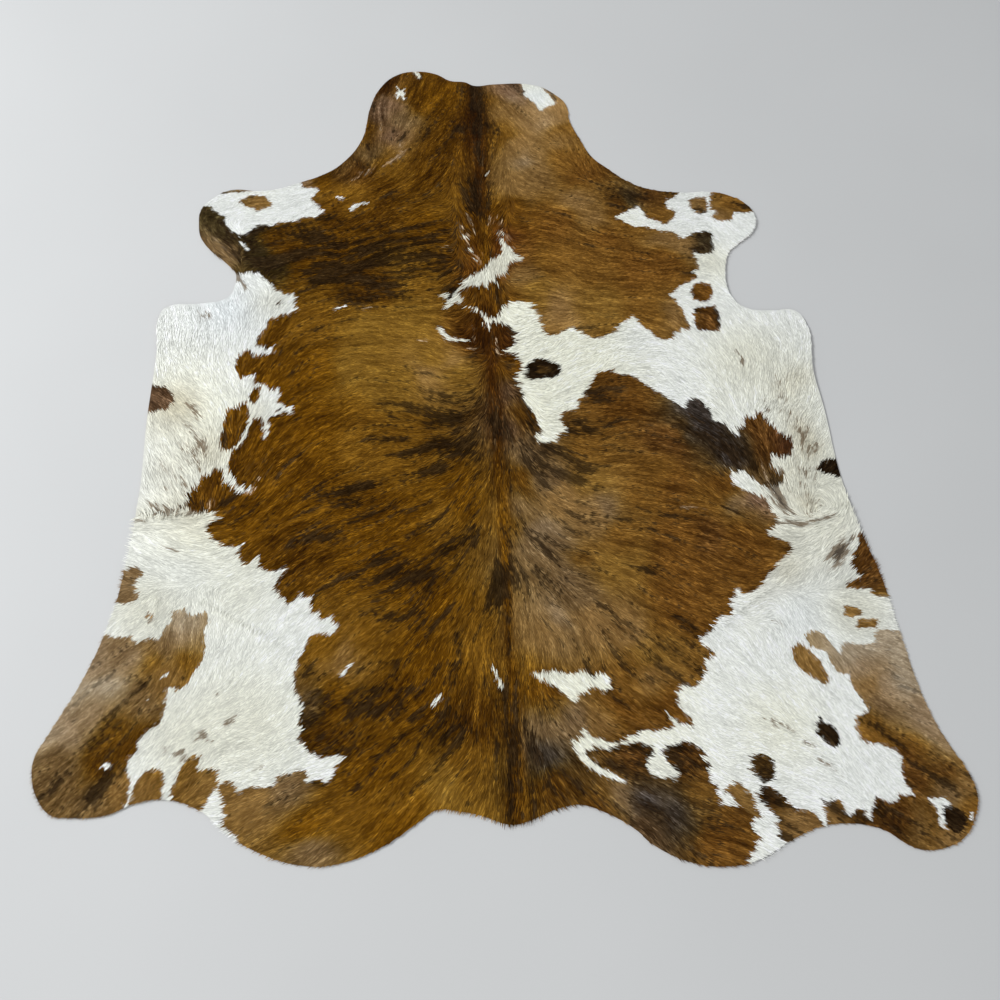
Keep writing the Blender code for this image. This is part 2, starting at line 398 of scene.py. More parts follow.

# %% [markdown]
# The coat starts brown all over. White patches are laid on it, then the brown islands in the white
# and the white flecks in the brown, each as a closed line read off the photo. The order
# matters: what comes later covers what came before, as layers of paint do. A patch that reaches the
# rim simply runs on past it, because nothing grows out there.

# %% Patches of the coat, in the order in which they are laid
# Each row is (name, what it is, corners in centimetres).
PATCHES = (
    ("left foreleg", "white", (
        (-78, 67), (-72, 69), (-61, 70.3), (-60, 74), (-50, 76), (-49, 72), (-48.5, 71), (-45, 70.5),
        (-44.5, 70), (-46.5, 67.5), (-45, 65), (-43, 63), (-45.5, 61), (-49, 61), (-51, 59.5), (-56, 59),
        (-57, 58.2), (-60, 59), (-61, 58.5), (-63, 57), (-64.5, 55.5), (-66, 55), (-68, 57),
        (-69.5, 58.5), (-70, 60.5), (-71, 62), (-73, 63.5), (-74.5, 65), (-78, 65))),
    ("spot on the left foreleg", "brown", (
        (-66.3, 66.8), (-63.5, 68.7), (-59.5, 68.3), (-58.2, 66.8), (-57, 65.2), (-61, 63.3),
        (-63.5, 64.5), (-66, 66))),
    ("left side", "white", (
        (-72, 48), (-69.5, 46.5), (-66.5, 42.5), (-62, 43), (-60.4, 43), (-58.8, 41.5), (-57.2, 39.5),
        (-55.4, 37.4), (-53, 36), (-50.5, 36), (-50, 34), (-50.2, 30.5), (-52, 30), (-54, 29.5),
        (-57, 28.5), (-57.5, 26.5), (-60, 23), (-60, 21), (-57, 19), (-55.5, 20), (-56, 18), (-58, 17),
        (-60.5, 18), (-62, 19), (-64.5, 17.5), (-65.5, 14.5), (-64.5, 12), (-64, 10.7), (-60, 11.8),
        (-60.2, 9.6), (-58.6, 8.7), (-56.6, 7.6), (-55, 7.2), (-53.6, 8.2), (-54, 4), (-53, 2.5),
        (-50, 1.5), (-50.5, 0), (-53.5, 1.5), (-55.5, 0.5), (-56.5, -1.5), (-56, -5), (-57.5, -7),
        (-57, -3), (-58, -1), (-60.5, -1), (-61, -3.5), (-61.5, -5.5), (-62.5, -7.5), (-64.4, -9.5),
        (-65.7, -12.5), (-65.6, -15.6), (-64.7, -17.4), (-63, -19.4), (-61, -20), (-60, -19.4),
        (-59.4, -20.2), (-61, -20.9), (-63.4, -20.3), (-65.4, -18.6), (-66.7, -16.8), (-67.6, -14.6),
        (-69, -14.2), (-70, -16.4), (-72, -16.4), (-72.8, -18.4), (-75, -21.5), (-74.6, -24.6),
        (-72.6, -26.4), (-70.4, -26), (-68.4, -26.6), (-66.4, -27.8), (-69.4, -28.6), (-70.6, -30.4),
        (-69, -32.5), (-66, -34.6), (-62.6, -35.2), (-60.3, -33.4), (-62.8, -36.2), (-62.2, -38),
        (-60.6, -39.9), (-59.2, -38.8), (-57.6, -37), (-57.8, -39.8), (-55.6, -41.4), (-53.6, -41.6),
        (-51.4, -41), (-53.4, -44), (-54, -45.6), (-52.6, -47.6), (-50.2, -50), (-48.8, -49),
        (-47.4, -47.4), (-46, -48.4), (-44, -47.6), (-45.2, -49.6), (-45, -51.6), (-42.5, -53.5),
        (-40, -53.5), (-38.5, -56), (-40.5, -58), (-43.5, -57), (-46, -58.5), (-46, -61), (-48, -64),
        (-48.5, -67), (-48.5, -70), (-48, -71), (-46.5, -74.5), (-47.5, -77.5), (-46.5, -79), (-47, -81),
        (-46, -84), (-42, -85.5), (-38.5, -85), (-36.5, -85.5), (-39.5, -88), (-40.5, -91), (-44, -90.5),
        (-45.5, -90.5), (-46, -88), (-49, -88.5), (-52, -89), (-53, -91.5), (-57.5, -91), (-60.2, -91.8),
        (-61, -90), (-63, -89.5), (-64.5, -90.5), (-64.5, -92), (-63.5, -95), (-62.5, -99), (-60, -102),
        (-60, -112), (-112, -112), (-112, 48))),
    ("left hind leg", "brown", (
        (-95, -54), (-92, -55.5), (-90, -56.5), (-88, -56), (-86, -56), (-84.5, -58), (-83, -57),
        (-81.5, -56.5), (-79.5, -57.5), (-78, -54), (-76.5, -52), (-77, -50.5), (-74.5, -50),
        (-72.5, -52), (-70.5, -50.8), (-69, -51), (-68.5, -53.5), (-69.3, -55), (-68.9, -60),
        (-69.4, -63), (-71, -65), (-72.5, -68), (-74.5, -69), (-76.5, -68), (-77, -70), (-77, -73),
        (-78, -76.5), (-80, -77.5), (-82.5, -80), (-82.5, -82), (-84.5, -84.5), (-84, -87.5),
        (-83.5, -90.5), (-84, -97), (-110, -97), (-110, -54))),
    ("islands on the left belly", "brown", (
        (-61.2, 5.6), (-60.2, 8.2), (-58.6, 7.8), (-58.7, 5), (-60, 2.8), (-61, 4))),
    ("long island on the left belly", "brown", (
        (-66.2, 1.6), (-64.5, 2.2), (-62, 3.8), (-61, 1), (-61.4, -2.4), (-62.8, -6), (-65, -9.8),
        (-67.9, -9), (-68, -5), (-67, 0))),
    ("spot at the left rim", "brown", (
        (-92, 9.6), (-86, 9.4), (-82.2, 8.6), (-80.3, 6.6), (-80, 4.6), (-81.4, 2.4), (-84, 1.5),
        (-92, 1.2))),
    ("spot above the left hind leg", "brown", (
        (-93, -40.5), (-89, -40.8), (-87.5, -39.3), (-85.4, -39.2), (-84.3, -40.8), (-85, -43),
        (-86, -44.4), (-85.2, -46), (-85, -47.5), (-88, -48.3), (-94, -47))),
    ("left rump, first island", "brown", (
        (-74.5, -90.5), (-73, -87), (-71, -84), (-69, -84.5), (-69, -87), (-66, -86.5), (-64.5, -88),
        (-64.8, -91), (-66.5, -92.5), (-67, -95), (-70, -98), (-74, -96))),
    ("left rump, second island", "brown", (
        (-83, -96), (-83.2, -92), (-82, -88.4), (-80, -86.3), (-77, -86), (-76, -88.6), (-76, -96))),
    ("speck above the left hind leg", "tan", (
        (-82.8, -51.5), (-82, -50.5), (-81.2, -51.5), (-82, -52.5))),
    ("speck in the left armpit", "brown", ((-55.2, 33), (-54.5, 33.8), (-53.8, 33), (-54.5, 32.2))),
    ("white fleck on the left hind leg", "white", ((-90, -85), (-89, -84.4), (-88, -85), (-88.8, -86))),
    ("right side", "white", (
        (60, 72), (57.5, 67.5), (55.5, 65.5), (53.5, 64.5), (53, 63), (54.5, 61.5), (56, 60.5),
        (54.5, 59), (53.5, 57), (52, 56.6), (50, 58), (47.2, 58.8), (46.4, 61), (45.5, 63), (43.5, 62),
        (40.5, 60.5), (38, 59.5), (40.5, 58), (43, 56), (47, 56), (50, 54.5), (53, 54.5), (55.5, 53),
        (57, 51.5), (58, 52.5), (60, 53.5), (63, 54), (65.5, 53), (65, 51.5), (65, 47.5), (63, 46.5),
        (60.5, 46.5), (59, 47), (59.5, 45.5), (59.5, 43.5), (60.5, 42.5), (60, 41.5), (57.5, 40.5),
        (59.5, 39), (57.5, 37.5), (54.5, 36.5), (52, 34), (50.5, 33.5), (52, 31.5), (53.5, 29),
        (54.5, 26), (55.2, 22.5), (53.5, 22), (52, 22), (50, 19.5), (48, 19), (45.5, 20), (44, 22),
        (42, 24), (40, 27), (38.5, 25.5), (36, 24.5), (35, 22.5), (32, 21), (30, 20), (27, 20.5),
        (25, 22.5), (22.5, 23.5), (21, 23), (19.5, 21.5), (16, 21.5), (15, 24), (14.5, 27), (13, 29),
        (13, 31.5), (10, 32), (7.5, 31.5), (5, 30.5), (4, 28), (2, 27), (0.5, 26.5), (0, 25.5), (3, 25.5),
        (6, 25), (8, 22.5), (8, 20), (6, 18), (4.5, 16.8), (7, 16), (9, 14.5), (8.8, 12), (7.4, 9.5),
        (8.2, 5), (9.6, 1), (11.2, -2), (12.2, -5), (12.8, -7), (11.2, -8.5), (11, -9.8), (13, -9.5),
        (16.5, -9.8), (17, -8), (19.5, -7), (18, -5.5), (17.5, -3), (19, -1.5), (22, -0.5), (23.5, 2),
        (25, 4.5), (26.5, 7), (28.5, 10), (32, 10.5), (34, 9), (38, 9), (40, 6.5), (42, 5), (45, 3),
        (48, 0.5), (50, -1.5), (51.5, 1), (53.5, 1.5), (55.5, 0.5), (56.5, -2), (57.5, -5), (60, -6),
        (62, -9), (63.5, -10), (63.5, -8), (65.5, -7), (65.5, -4.5), (68, -4), (70, -3), (72, -6),
        (73.5, -8.8), (76.5, -10), (77.4, -12.5), (76, -15.6), (74, -16), (71.4, -15.4), (70.4, -17),
        (71.2, -19), (73.5, -21), (72.7, -24), (69, -24.6), (67.2, -23.6), (66, -25), (68, -28),
        (69.2, -31), (69.6, -33.6), (68, -35.6), (67, -37.2), (70.5, -38.5), (72.5, -41), (69, -43.5),
        (67, -46), (65, -47.2), (63.6, -50), (61.2, -51.4), (58.4, -52), (56, -49.5), (56.5, -52),
        (54.5, -54), (54.5, -57.5), (52.5, -57), (51, -58.5), (49.5, -60), (47.5, -61.5), (46, -64),
        (48, -64.5), (49.8, -66.5), (48.5, -67.5), (46.5, -67), (47, -69.5), (46, -71.5), (44, -73.5),
        (41, -73.5), (39.5, -75), (39, -77.5), (40, -79), (42.3, -81.5), (41.5, -82.5), (39, -82),
        (37, -80), (36, -78.5), (37.5, -82), (36, -83.5), (33.5, -83), (30, -83.5), (26, -85), (24, -86),
        (20, -84.5), (18, -83.5), (17, -82), (16, -84), (14, -85.5), (14.6, -87.6), (16.6, -90),
        (19.8, -92.4), (24, -94), (26, -94.4), (22.4, -92), (19, -90), (16.4, -87.4), (19, -86.2),
        (22, -86.6), (25, -86), (29, -85.5), (32, -86.5), (32.5, -89), (30.5, -90.5), (31, -92.5),
        (33, -93.5), (37.5, -94), (36, -91), (34.5, -88.5), (35, -87.5), (38, -86), (41, -86),
        (43.5, -88), (43.5, -90.5), (45, -91), (44.5, -94), (45.5, -97), (46.5, -100.5), (50, -100.5),
        (54, -101), (53.5, -103), (52.4, -104.5), (52.4, -106), (53.6, -107.5), (52, -109.5),
        (50.5, -112), (50.5, -118), (114, -118), (114, 72))),
    ("wedge by the right flank", "white", (
        (60, -19.5), (64, -20.5), (66.5, -23), (68, -26), (69.5, -28.5), (68, -26.5), (65, -26),
        (61.5, -24.5), (60, -22.5))),
    ("tan spot on the right rump", "tan", (
        (48, -97.5), (49.5, -95.2), (51.5, -96), (53, -98), (54.2, -100.5), (54.5, -103.5), (52, -102.5),
        (49.5, -100))),
    ("right rump, first island", "dark", (
        (54.5, -90), (57, -89.5), (59.5, -91), (59.5, -94.5), (56.5, -96.5), (54, -94))),
    ("right rump, second island", "brown", (
        (54.5, -97.5), (57.5, -96.5), (61, -99.5), (62, -101.5), (66, -102.5), (68.5, -105.5), (69, -112),
        (60, -112), (58, -106), (58.5, -103.5), (56, -101), (54.5, -98.5))),
    ("right rump, third island", "brown", (
        (69, -99.5), (70, -101), (73, -100.5), (74.5, -104), (78, -102.5), (79, -105.5), (79, -112),
        (68, -112), (69.5, -103))),
    ("black spot on the right thigh", "black", (
        (71.7, -81.5), (72.7, -83.5), (75, -84.5), (75.5, -87.5), (74.5, -89.5), (72, -88),
        (70.5, -85.5))),
    ("tan island on the right thigh", "tan", (
        (67.9, -65.8), (70, -64.6), (72.4, -66.3), (74.6, -69.8), (75.7, -73.3), (74.2, -74.7),
        (70.7, -72), (68.2, -69.4))),
    ("right hind leg", "brown", (
        (97, -62.5), (93.5, -62.5), (91, -62), (88.5, -62.5), (88.5, -65), (86, -65.5), (83, -65.5),
        (81, -64.5), (79.5, -66.5), (79, -67.5), (77.5, -65), (76, -62.5), (73.5, -61.5), (71.5, -63),
        (72.5, -65.5), (76, -67), (76.5, -69.5), (78, -72), (80.5, -72.5), (81, -76), (82.5, -78.5),
        (83.6, -81.4), (80.6, -82), (79.4, -84.4), (80.8, -87.8), (84.4, -88.7), (88, -90.5), (89.5, -92),
        (88.5, -95), (89, -98), (90, -100), (87, -100), (86, -102), (84, -101.5), (81.5, -100.5),
        (80, -102.5), (79, -105.5), (79, -116), (112, -116), (112, -62.5))),
    ("white mark at the right hoof end", "white", (
        (93.5, -101.5), (96.5, -101), (98, -103), (96.5, -105), (96, -108), (94.5, -107), (95, -104))),
    ("right hoof end", "black", (
        (96.5, -103), (98.5, -103), (101, -104.5), (101, -106.5), (99.5, -109), (97, -108.5),
        (96, -106))),
    ("white strip on the right haunch", "white", (
        (6, -69.5), (9, -68.5), (14, -69), (18, -69), (20, -70), (23, -69.5), (24.5, -71.5), (23, -74),
        (20, -72.5), (17.5, -74), (15, -76.5), (14, -74.5), (11, -72), (8, -70.5))),
    ("white at the right of the neck", "white", (
        (15.5, 111), (21, 111), (21.3, 106), (22.5, 104.5), (23.5, 102.5), (24.6, 100.6), (23, 100),
        (21.5, 99.3), (20.5, 98), (19.3, 98), (19, 99.5), (18.3, 101), (16.5, 102.5), (15.2, 104),
        (15.6, 105.5), (15, 107))),
    ("star on the withers", "white", (
        (5, 53), (6.6, 51.7), (8.2, 49.6), (9.2, 48), (10, 46.9), (12.2, 46.2), (10, 45.2), (8, 45),
        (7.2, 44), (6.7, 42), (5.5, 40.7), (3.2, 40.2), (4, 37.6), (2.6, 38.9), (1.6, 38.4), (1.1, 35.3),
        (0.3, 36.8), (-0.8, 38.2), (-2, 37.3), (-4, 37), (-5.8, 36.3), (-7, 35.4), (-6, 34), (-5.8, 32.4),
        (-6.8, 31.4), (-8.2, 32), (-9.6, 30.7), (-11.2, 30.4), (-10.3, 32), (-10.4, 33.5), (-11.7, 35),
        (-9.8, 35.2), (-8.9, 34), (-7.9, 34.3), (-7.7, 35.8), (-6.4, 37), (-5.2, 38.2), (-5.4, 39.5),
        (-3.6, 40.4), (-1.5, 41.2), (0, 41.9), (0.7, 43.2), (1, 44.6), (2.2, 45.7), (4, 46.7),
        (5.5, 47.7), (5.9, 49), (5.5, 50.6))),
    ("black tick beside the star", "black", (
        (-9.8, 35.3), (-9.3, 36.6), (-7.2, 37.3), (-6.6, 36.9), (-7.6, 35.7), (-7.9, 34.3),
        (-8.8, 33.8))),
    ("black spot in the right band", "black", (
        (9.7, 10.5), (10.2, 12.6), (12, 14.2), (15, 14.4), (18, 13), (19.4, 11.3), (18.6, 9.3), (16, 8.3),
        (12.5, 8.5), (11, 7.7), (9.8, 8.8))),
    ("its brown middle", "dark", (
        (12.6, 10.4), (13, 12), (14.8, 12.4), (16.4, 11.4), (16, 10), (13.8, 9.8))),
    ("round spot on the right shoulder", "brown", (
        (56.2, 33.9), (57.2, 36.3), (59.7, 37.2), (62.1, 36.3), (63.2, 33.9), (62.1, 31.5), (59.7, 30.6),
        (57.2, 31.5))),
    ("square spot behind the right shoulder", "brown", (
        (56.3, 26.8), (57, 29), (60, 29.2), (63, 29.4), (63.6, 26), (63.4, 23), (62.8, 20.8), (60, 21.8),
        (57, 22), (56.3, 24))),
    ("right foreleg, inner spot", "brown", (
        (59.8, 63.2), (60.2, 65), (62, 65.9), (65.2, 65.9), (65, 63), (65, 61), (63.2, 59.9),
        (61.2, 60.8))),
    ("right foreleg, outer spot", "brown", (
        (66.2, 64), (66.3, 67), (69, 69), (75, 69), (80, 62), (80, 60), (75, 60.1), (72.3, 60.2),
        (71.8, 58.2), (70, 57.1), (67.5, 57.4), (65.8, 59), (66.6, 60.2), (67.6, 61), (65.6, 61.4),
        (65.6, 63.2))),
    ("black spot at the right rim", "black", (
        (82.4, -19.2), (83.6, -17.8), (85.2, -17.1), (92, -16.8), (92, -22.4), (86.6, -22), (84.6, -21.4),
        (83, -20.6))),
    ("brown at the right rim", "brown", (
        (96, -36.5), (89.6, -37.4), (88.6, -41), (87, -43), (86.5, -46.5), (88, -48.8), (85.6, -49.8),
        (84, -50), (84, -51.6), (87, -51.8), (90, -51.8), (89.5, -53), (92, -54), (97, -54))),
    ("tan specks on the right groin", "tan", (
        (81.5, -58), (83, -55.6), (86.5, -57), (86.4, -58.4), (84, -59))),
    ("tan bar on the right groin", "tan", (
        (84, -60.8), (86, -59.2), (90, -59.4), (89, -61.4), (85, -61.6))),
)

# White strands and flecks: start, end and width in centimetres
WHITE_STROKES = (
    ((-65.5, 53), (-63, 50), 0.6), ((-3, -67), (-1, -72), 0.6), ((-15.5, -73), (-17, -75), 0.8),
    ((-37.5, -67), (-35.5, -64.8), 0.7), ((-35.6, 63.4), (-34, 64.8), 1.3),
    ((-33.6, 65.2), (-31, 65.5), 0.6), ((-39.4, 67.6), (-38, 67.4), 0.7), ((-39.5, 31.2), (-37, 32), 0.6),
    ((-12.2, 24.2), (-9.8, 20.7), 1.1), ((-9.8, 20.8), (-5.2, 20.4), 0.8),
    ((-21, 105.2), (-22.2, 107.2), 0.4), ((-21, 105.2), (-19.8, 106.4), 0.5),
    ((-21.2, 105), (-22.4, 102.8), 0.6), ((-20.8, 105), (-20.1, 102.8), 0.6),
    ((-21.6, 104.8), (-20.5, 104.8), 1.5), ((-16.5, 113), (-15.5, 111.2), 1.2),
    ((3.4, 75.6), (2.6, 74.4), 0.3), ((-4.6, 53.8), (-4, 52.8), 0.6), ((-3.4, 49.4), (-2.6, 48.6), 0.4),
    ((-2.6, 46.2), (-1, 45.4), 0.4), ((-5, 30.6), (-2.2, 30), 0.6), ((-2.4, 29.8), (0.4, 27), 0.7),
    ((0.4, 27.4), (0.9, 23.8), 0.6), ((0.4, 26.8), (-1, 25.2), 0.4), ((1, 26.6), (5, 26.4), 0.9),
    ((5, 55), (6.4, 54), 0.4), ((102, -106), (102.6, -105), 0.7), ((-81.3, -71.3), (-80.8, -70.8), 0.3),
    ((-78, -66), (-77, -65), 0.5), ((-58, -2.5), (-57.2, -6), 0.5), ((-56.8, -0.5), (-50.6, 2), 0.9),
)
print(len(PATCHES), "patches and", len(WHITE_STROKES), "white strands")

# %% [markdown]
# No part of the brown is one brown. It goes from a golden tan behind the shoulder to a seal brown on
# the neck and pale on the legs. Right of the spine it is more grey: that is a painted sheen, the
# shine of the hair there. A short list of named tones, and the places where each is seen, is enough:
# in between, the tones run into each other. Over them go the dark line of the spine, the parts
# where thin dark streaks stand thick, which is called brindle, and the heavier streaks, dark or
# pale, that the eye can tell apart. A few of the dark ones are painted shade, along folds and along
# the curled rim of the neck.

# %% Tones of the brown hair
TONES = {
    "golden": (0.262, 0.134, 0.018),
    "tan": (0.255, 0.138, 0.038),
    "rust": (0.202, 0.090, 0.008),
    "chestnut": (0.155, 0.062, 0.003),
    "umber": (0.116, 0.046, 0.003),
    "seal": (0.060, 0.020, 0.002),
    "soot": (0.066, 0.050, 0.038),
    "ash": (0.225, 0.138, 0.060),
    "fawn": (0.350, 0.240, 0.135),
    "russet": (0.130, 0.042, 0.006),
    "ink": (0.018, 0.009, 0.003),
    "cocoa": (0.108, 0.058, 0.028),
    "bark": (0.078, 0.040, 0.010),
    "olive": (0.062, 0.042, 0.014),
    "rosy": (0.215, 0.122, 0.066),
    "honey": (0.340, 0.190, 0.058),
    "blond": (0.420, 0.290, 0.170),
    "sand": (0.420, 0.330, 0.220),
    "peat": (0.170, 0.098, 0.034),
}
RIGHT_SIDE_SHEEN = np.array((0.0, 0.002, 0.007))  # painted sheen: the right side is this much more grey
RIGHT_SIDE_SHEEN_FROM = 25  # the painted sheen is full from this far right of the spine, in centimetres
# How the tones of several places mix: the larger the first, in square centimetres, the more softly
# they meet, and the larger the second, the less a far place counts
TONE_BLEND = 9.0
TONE_FALL = 2.2
# Each row is a tone and the places (x, y) in centimetres where it is seen.
TONE_PLACES = (
    ("tan", (
        (-22, 85), (11, 98), (12, 84), (10, 72), (28, 66), (22, -80), (-62, 66), (10, -58), (18, 76),
        (34, -72), (52, 52), (60, 60), (68, 58), (52, 28), (16, -26), (64, 64), (18, 82), (21, -56),
        (25, 87), (34, 59), (85, -76), (65, -104), (10, 40), (23, -31), (57.5, 50), (-77, -65),
        (-85, -89), (97, -110), (30, -60), (101.5, -98), (-55, -93), (-38, -64))),
    ("rust", (
        (-25, 80), (25, 80), (-35, 68), (20, 46), (45, 30), (-30, -15), (30, -35), (-42, -60), (-12, -88),
        (-38, -98), (-26, -97), (92, -107), (-30, -58), (36, -26), (-8, -60), (24, -12), (-15, -30),
        (-20, 45), (40, -18), (30, -70), (20, -40), (70, 64), (40, 58), (49, 60), (-48, 60), (-34, -7),
        (-20, -8), (40, -98), (103, -103), (-9, 65), (-88, -79), (-81, -62), (92, -90), (3, -30),
        (-74, -62), (-21, 75), (26, 90), (25, 80), (-46, 25), (52, -27), (84, -86), (32, 44), (8, 89),
        (-50, 40))),
    ("chestnut", (
        (-12, 102), (20, 58), (8, 60), (35, 52), (50, 44), (-45, 14), (-30, -28), (-30, -38), (46, -24),
        (57, -25), (-18, -52), (-18, -64), (-30, -89), (42, -54), (45, -36), (60, -36), (-50, 44),
        (-14, 56), (-40, -72), (-20, -72), (45, -106), (40, 63), (-8, -24), (-40, 52), (36, -76),
        (8, -74), (20, -100), (60, 34), (-52, 8), (-44, -5), (-44, 73), (-8, 104), (-57, -9), (-60, -24),
        (-46, 48), (30, 75), (60, -40), (45, -45), (42, 42), (35, 0), (-20, -30), (-46, -20), (-45, -100),
        (-25, -100), (26, -78))),
    ("umber", (
        (-9, 86), (-14, 74), (-28, 60), (-55, -12), (-62, -14), (52, -36), (-50, -38), (-8, -80),
        (-52, 50), (-6, 56), (-30, 38), (57, -93), (-42, -81), (45, -11), (-32, 92), (-70, 1), (-64, -2),
        (-72, -20), (90, -45), (5, 12), (4, 34), (-57, 26), (-62, 16), (90, -94), (38, -90), (28, -89),
        (8, -93), (60, 25), (48, 66), (-8, 94), (-85, -81), (99, -95), (73, -13), (71, -21), (-71, -17),
        (-91, -84), (92, -97.5), (5, 103), (6, -20), (69, -7), (70, -14), (85, -105), (-15, 101), (8, -1),
        (-4, 89), (-25, 71), (-13, 84), (-41, 60), (-56, 53))),
    ("golden", (
        (15, 35), (30, 30), (-30, 25), (-20, 28), (-25, 9), (-14, 15), (-15, -93), (-36, 14), (28, -44),
        (-8, 11), (34, -66), (24, -22), (-21, 45))),
    ("soot", ((57, -8), (54, -3), (61, -15), (29, -99), (37, -100), (71, -22.5), (8, -88.5))),
    ("ash", (
        (14, -38), (-74, 53), (-69, 49), (60, -29), (16, -45), (-88, -44), (24, -97), (-79, -60),
        (13, -20), (8, -34), (-89, -60), (-80, -59), (87, -80), (18, -38), (27, -29), (14, -80), (8, -80),
        (8.6, -12.5), (-20, 96), (5, -27.5), (-50, -92), (-44, -105), (98, -100))),
    ("fawn", (
        (96, -82), (89, -76), (-100, -76), (-86, -61), (-92, -75), (-97, -79), (84, -72), (97, -87),
        (11, 103), (12, -56), (11, -33), (100.5, -91), (-75, -57), (-94, -60), (15, 80))),
    ("russet", ((4, 44), (4, 54))),
    ("olive", ((-73, 62), (-70, 58), (-63, 55), (-60, 49), (-54, 44), (44, 65), (64, 50))),
    ("rosy", ((-26, 90), (6, 105), (-23, 86), (66, -27), (11, 104), (-48, 73), (9, 107), (-25, 100))),
    ("honey", (
        (22, 96), (17, 95), (-9, 14), (13, 87), (25, 97), (19, 96), (-15, 11), (17, -24), (18, -25),
        (20, 30))),
    ("bark", ((28, -104), (26, -105))),
    ("seal", ((5, 21), (-3, 20), (-29, 108), (74.5, -12.5), (-34, 77.5))),
    ("cocoa", ((-84, 5), (5, 3), (5, -4), (-28.5, 97))),
    ("blond", ((20.5, 96), (19, 95))),
    ("sand", (
        (94, -75), (92, -67), (-97, -68), (-101, -77), (86, -66), (82, -67), (-91, -67), (-74, -54))),
    ("peat", (
        (-99, -86), (-92, -91), (-82, -71), (91, -107), (-30, 83), (-45, -73), (-35, 78), (18, -50))),
)
# The line of the spine: how far along (y), how far to the right (x), its tone, its half width
SPINE = (
    (110, 0.0, "seal", 2.2), (101, 0.0, "seal", 2.6), (94, 0.0, "seal", 5.4), (87, 0.4, "seal", 4.4),
    (79, 1.2, "seal", 3.4), (72, 0.2, "seal", 3.6), (64, -0.6, "seal", 2.8), (58, 1.0, "umber", 3.0),
    (45, 1.0, "umber", 2.2), (25, 0.8, "seal", 2.6), (8, 1.2, "seal", 2.4), (-8, 1.2, "seal", 2.2),
    (-20, 1.2, "umber", 2.0), (-40, 1.2, "chestnut", 1.6), (-60, 1.2, "umber", 1.4),
    (-78, 1.0, "umber", 2.2), (-97, 0.8, "umber", 2.4),
)
SPINE_WANDER = 0.6  # how far the line winds, in centimetres
# Where thin dark streaks stand thick: a place and how far it reaches each way in centimetres, then
# how thick they stand
BRINDLE = (
    ((-38, 49), (34, 14), 0.55), ((-14, -3), (18, 15), 0.42), ((-34, -24), (18, 10), 0.42),
    ((-20, -44), (34, 18), 0.42), ((-28, -78), (26, 16), 0.45), ((15, -15), (13, 12), 0.48),
    ((29, 1), (14, 12), 0.4), ((14, -42), (14, 16), 0.42), ((32, -97), (22, 15), 0.34),
    ((5, -88), (11, 16), 0.36), ((-60, 52), (8, 7), 0.4), ((30, -64), (20, 14), 0.34),
    ((-11, 86), (9, 14), 0.2), ((97, -100), (10, 12), 0.34), ((-92, -80), (14, 20), 0.28),
    ((60, -101), (12, 10), 0.45), ((57, -8), (11, 13), 0.48), ((2, 20), (7, 50), 0.22),
    ((40, -40), (24, 16), 0.2), ((-46, 10), (14, 16), 0.22), ((-55, -15), (12, 14), 0.1),
    ((-14, 60), (26, 8), 0.35), ((90, -80), (9, 14), 0.3),
)
PLAIN_BRINDLE = -0.04  # where the list says nothing. Below 0, hardly a dark hair stands
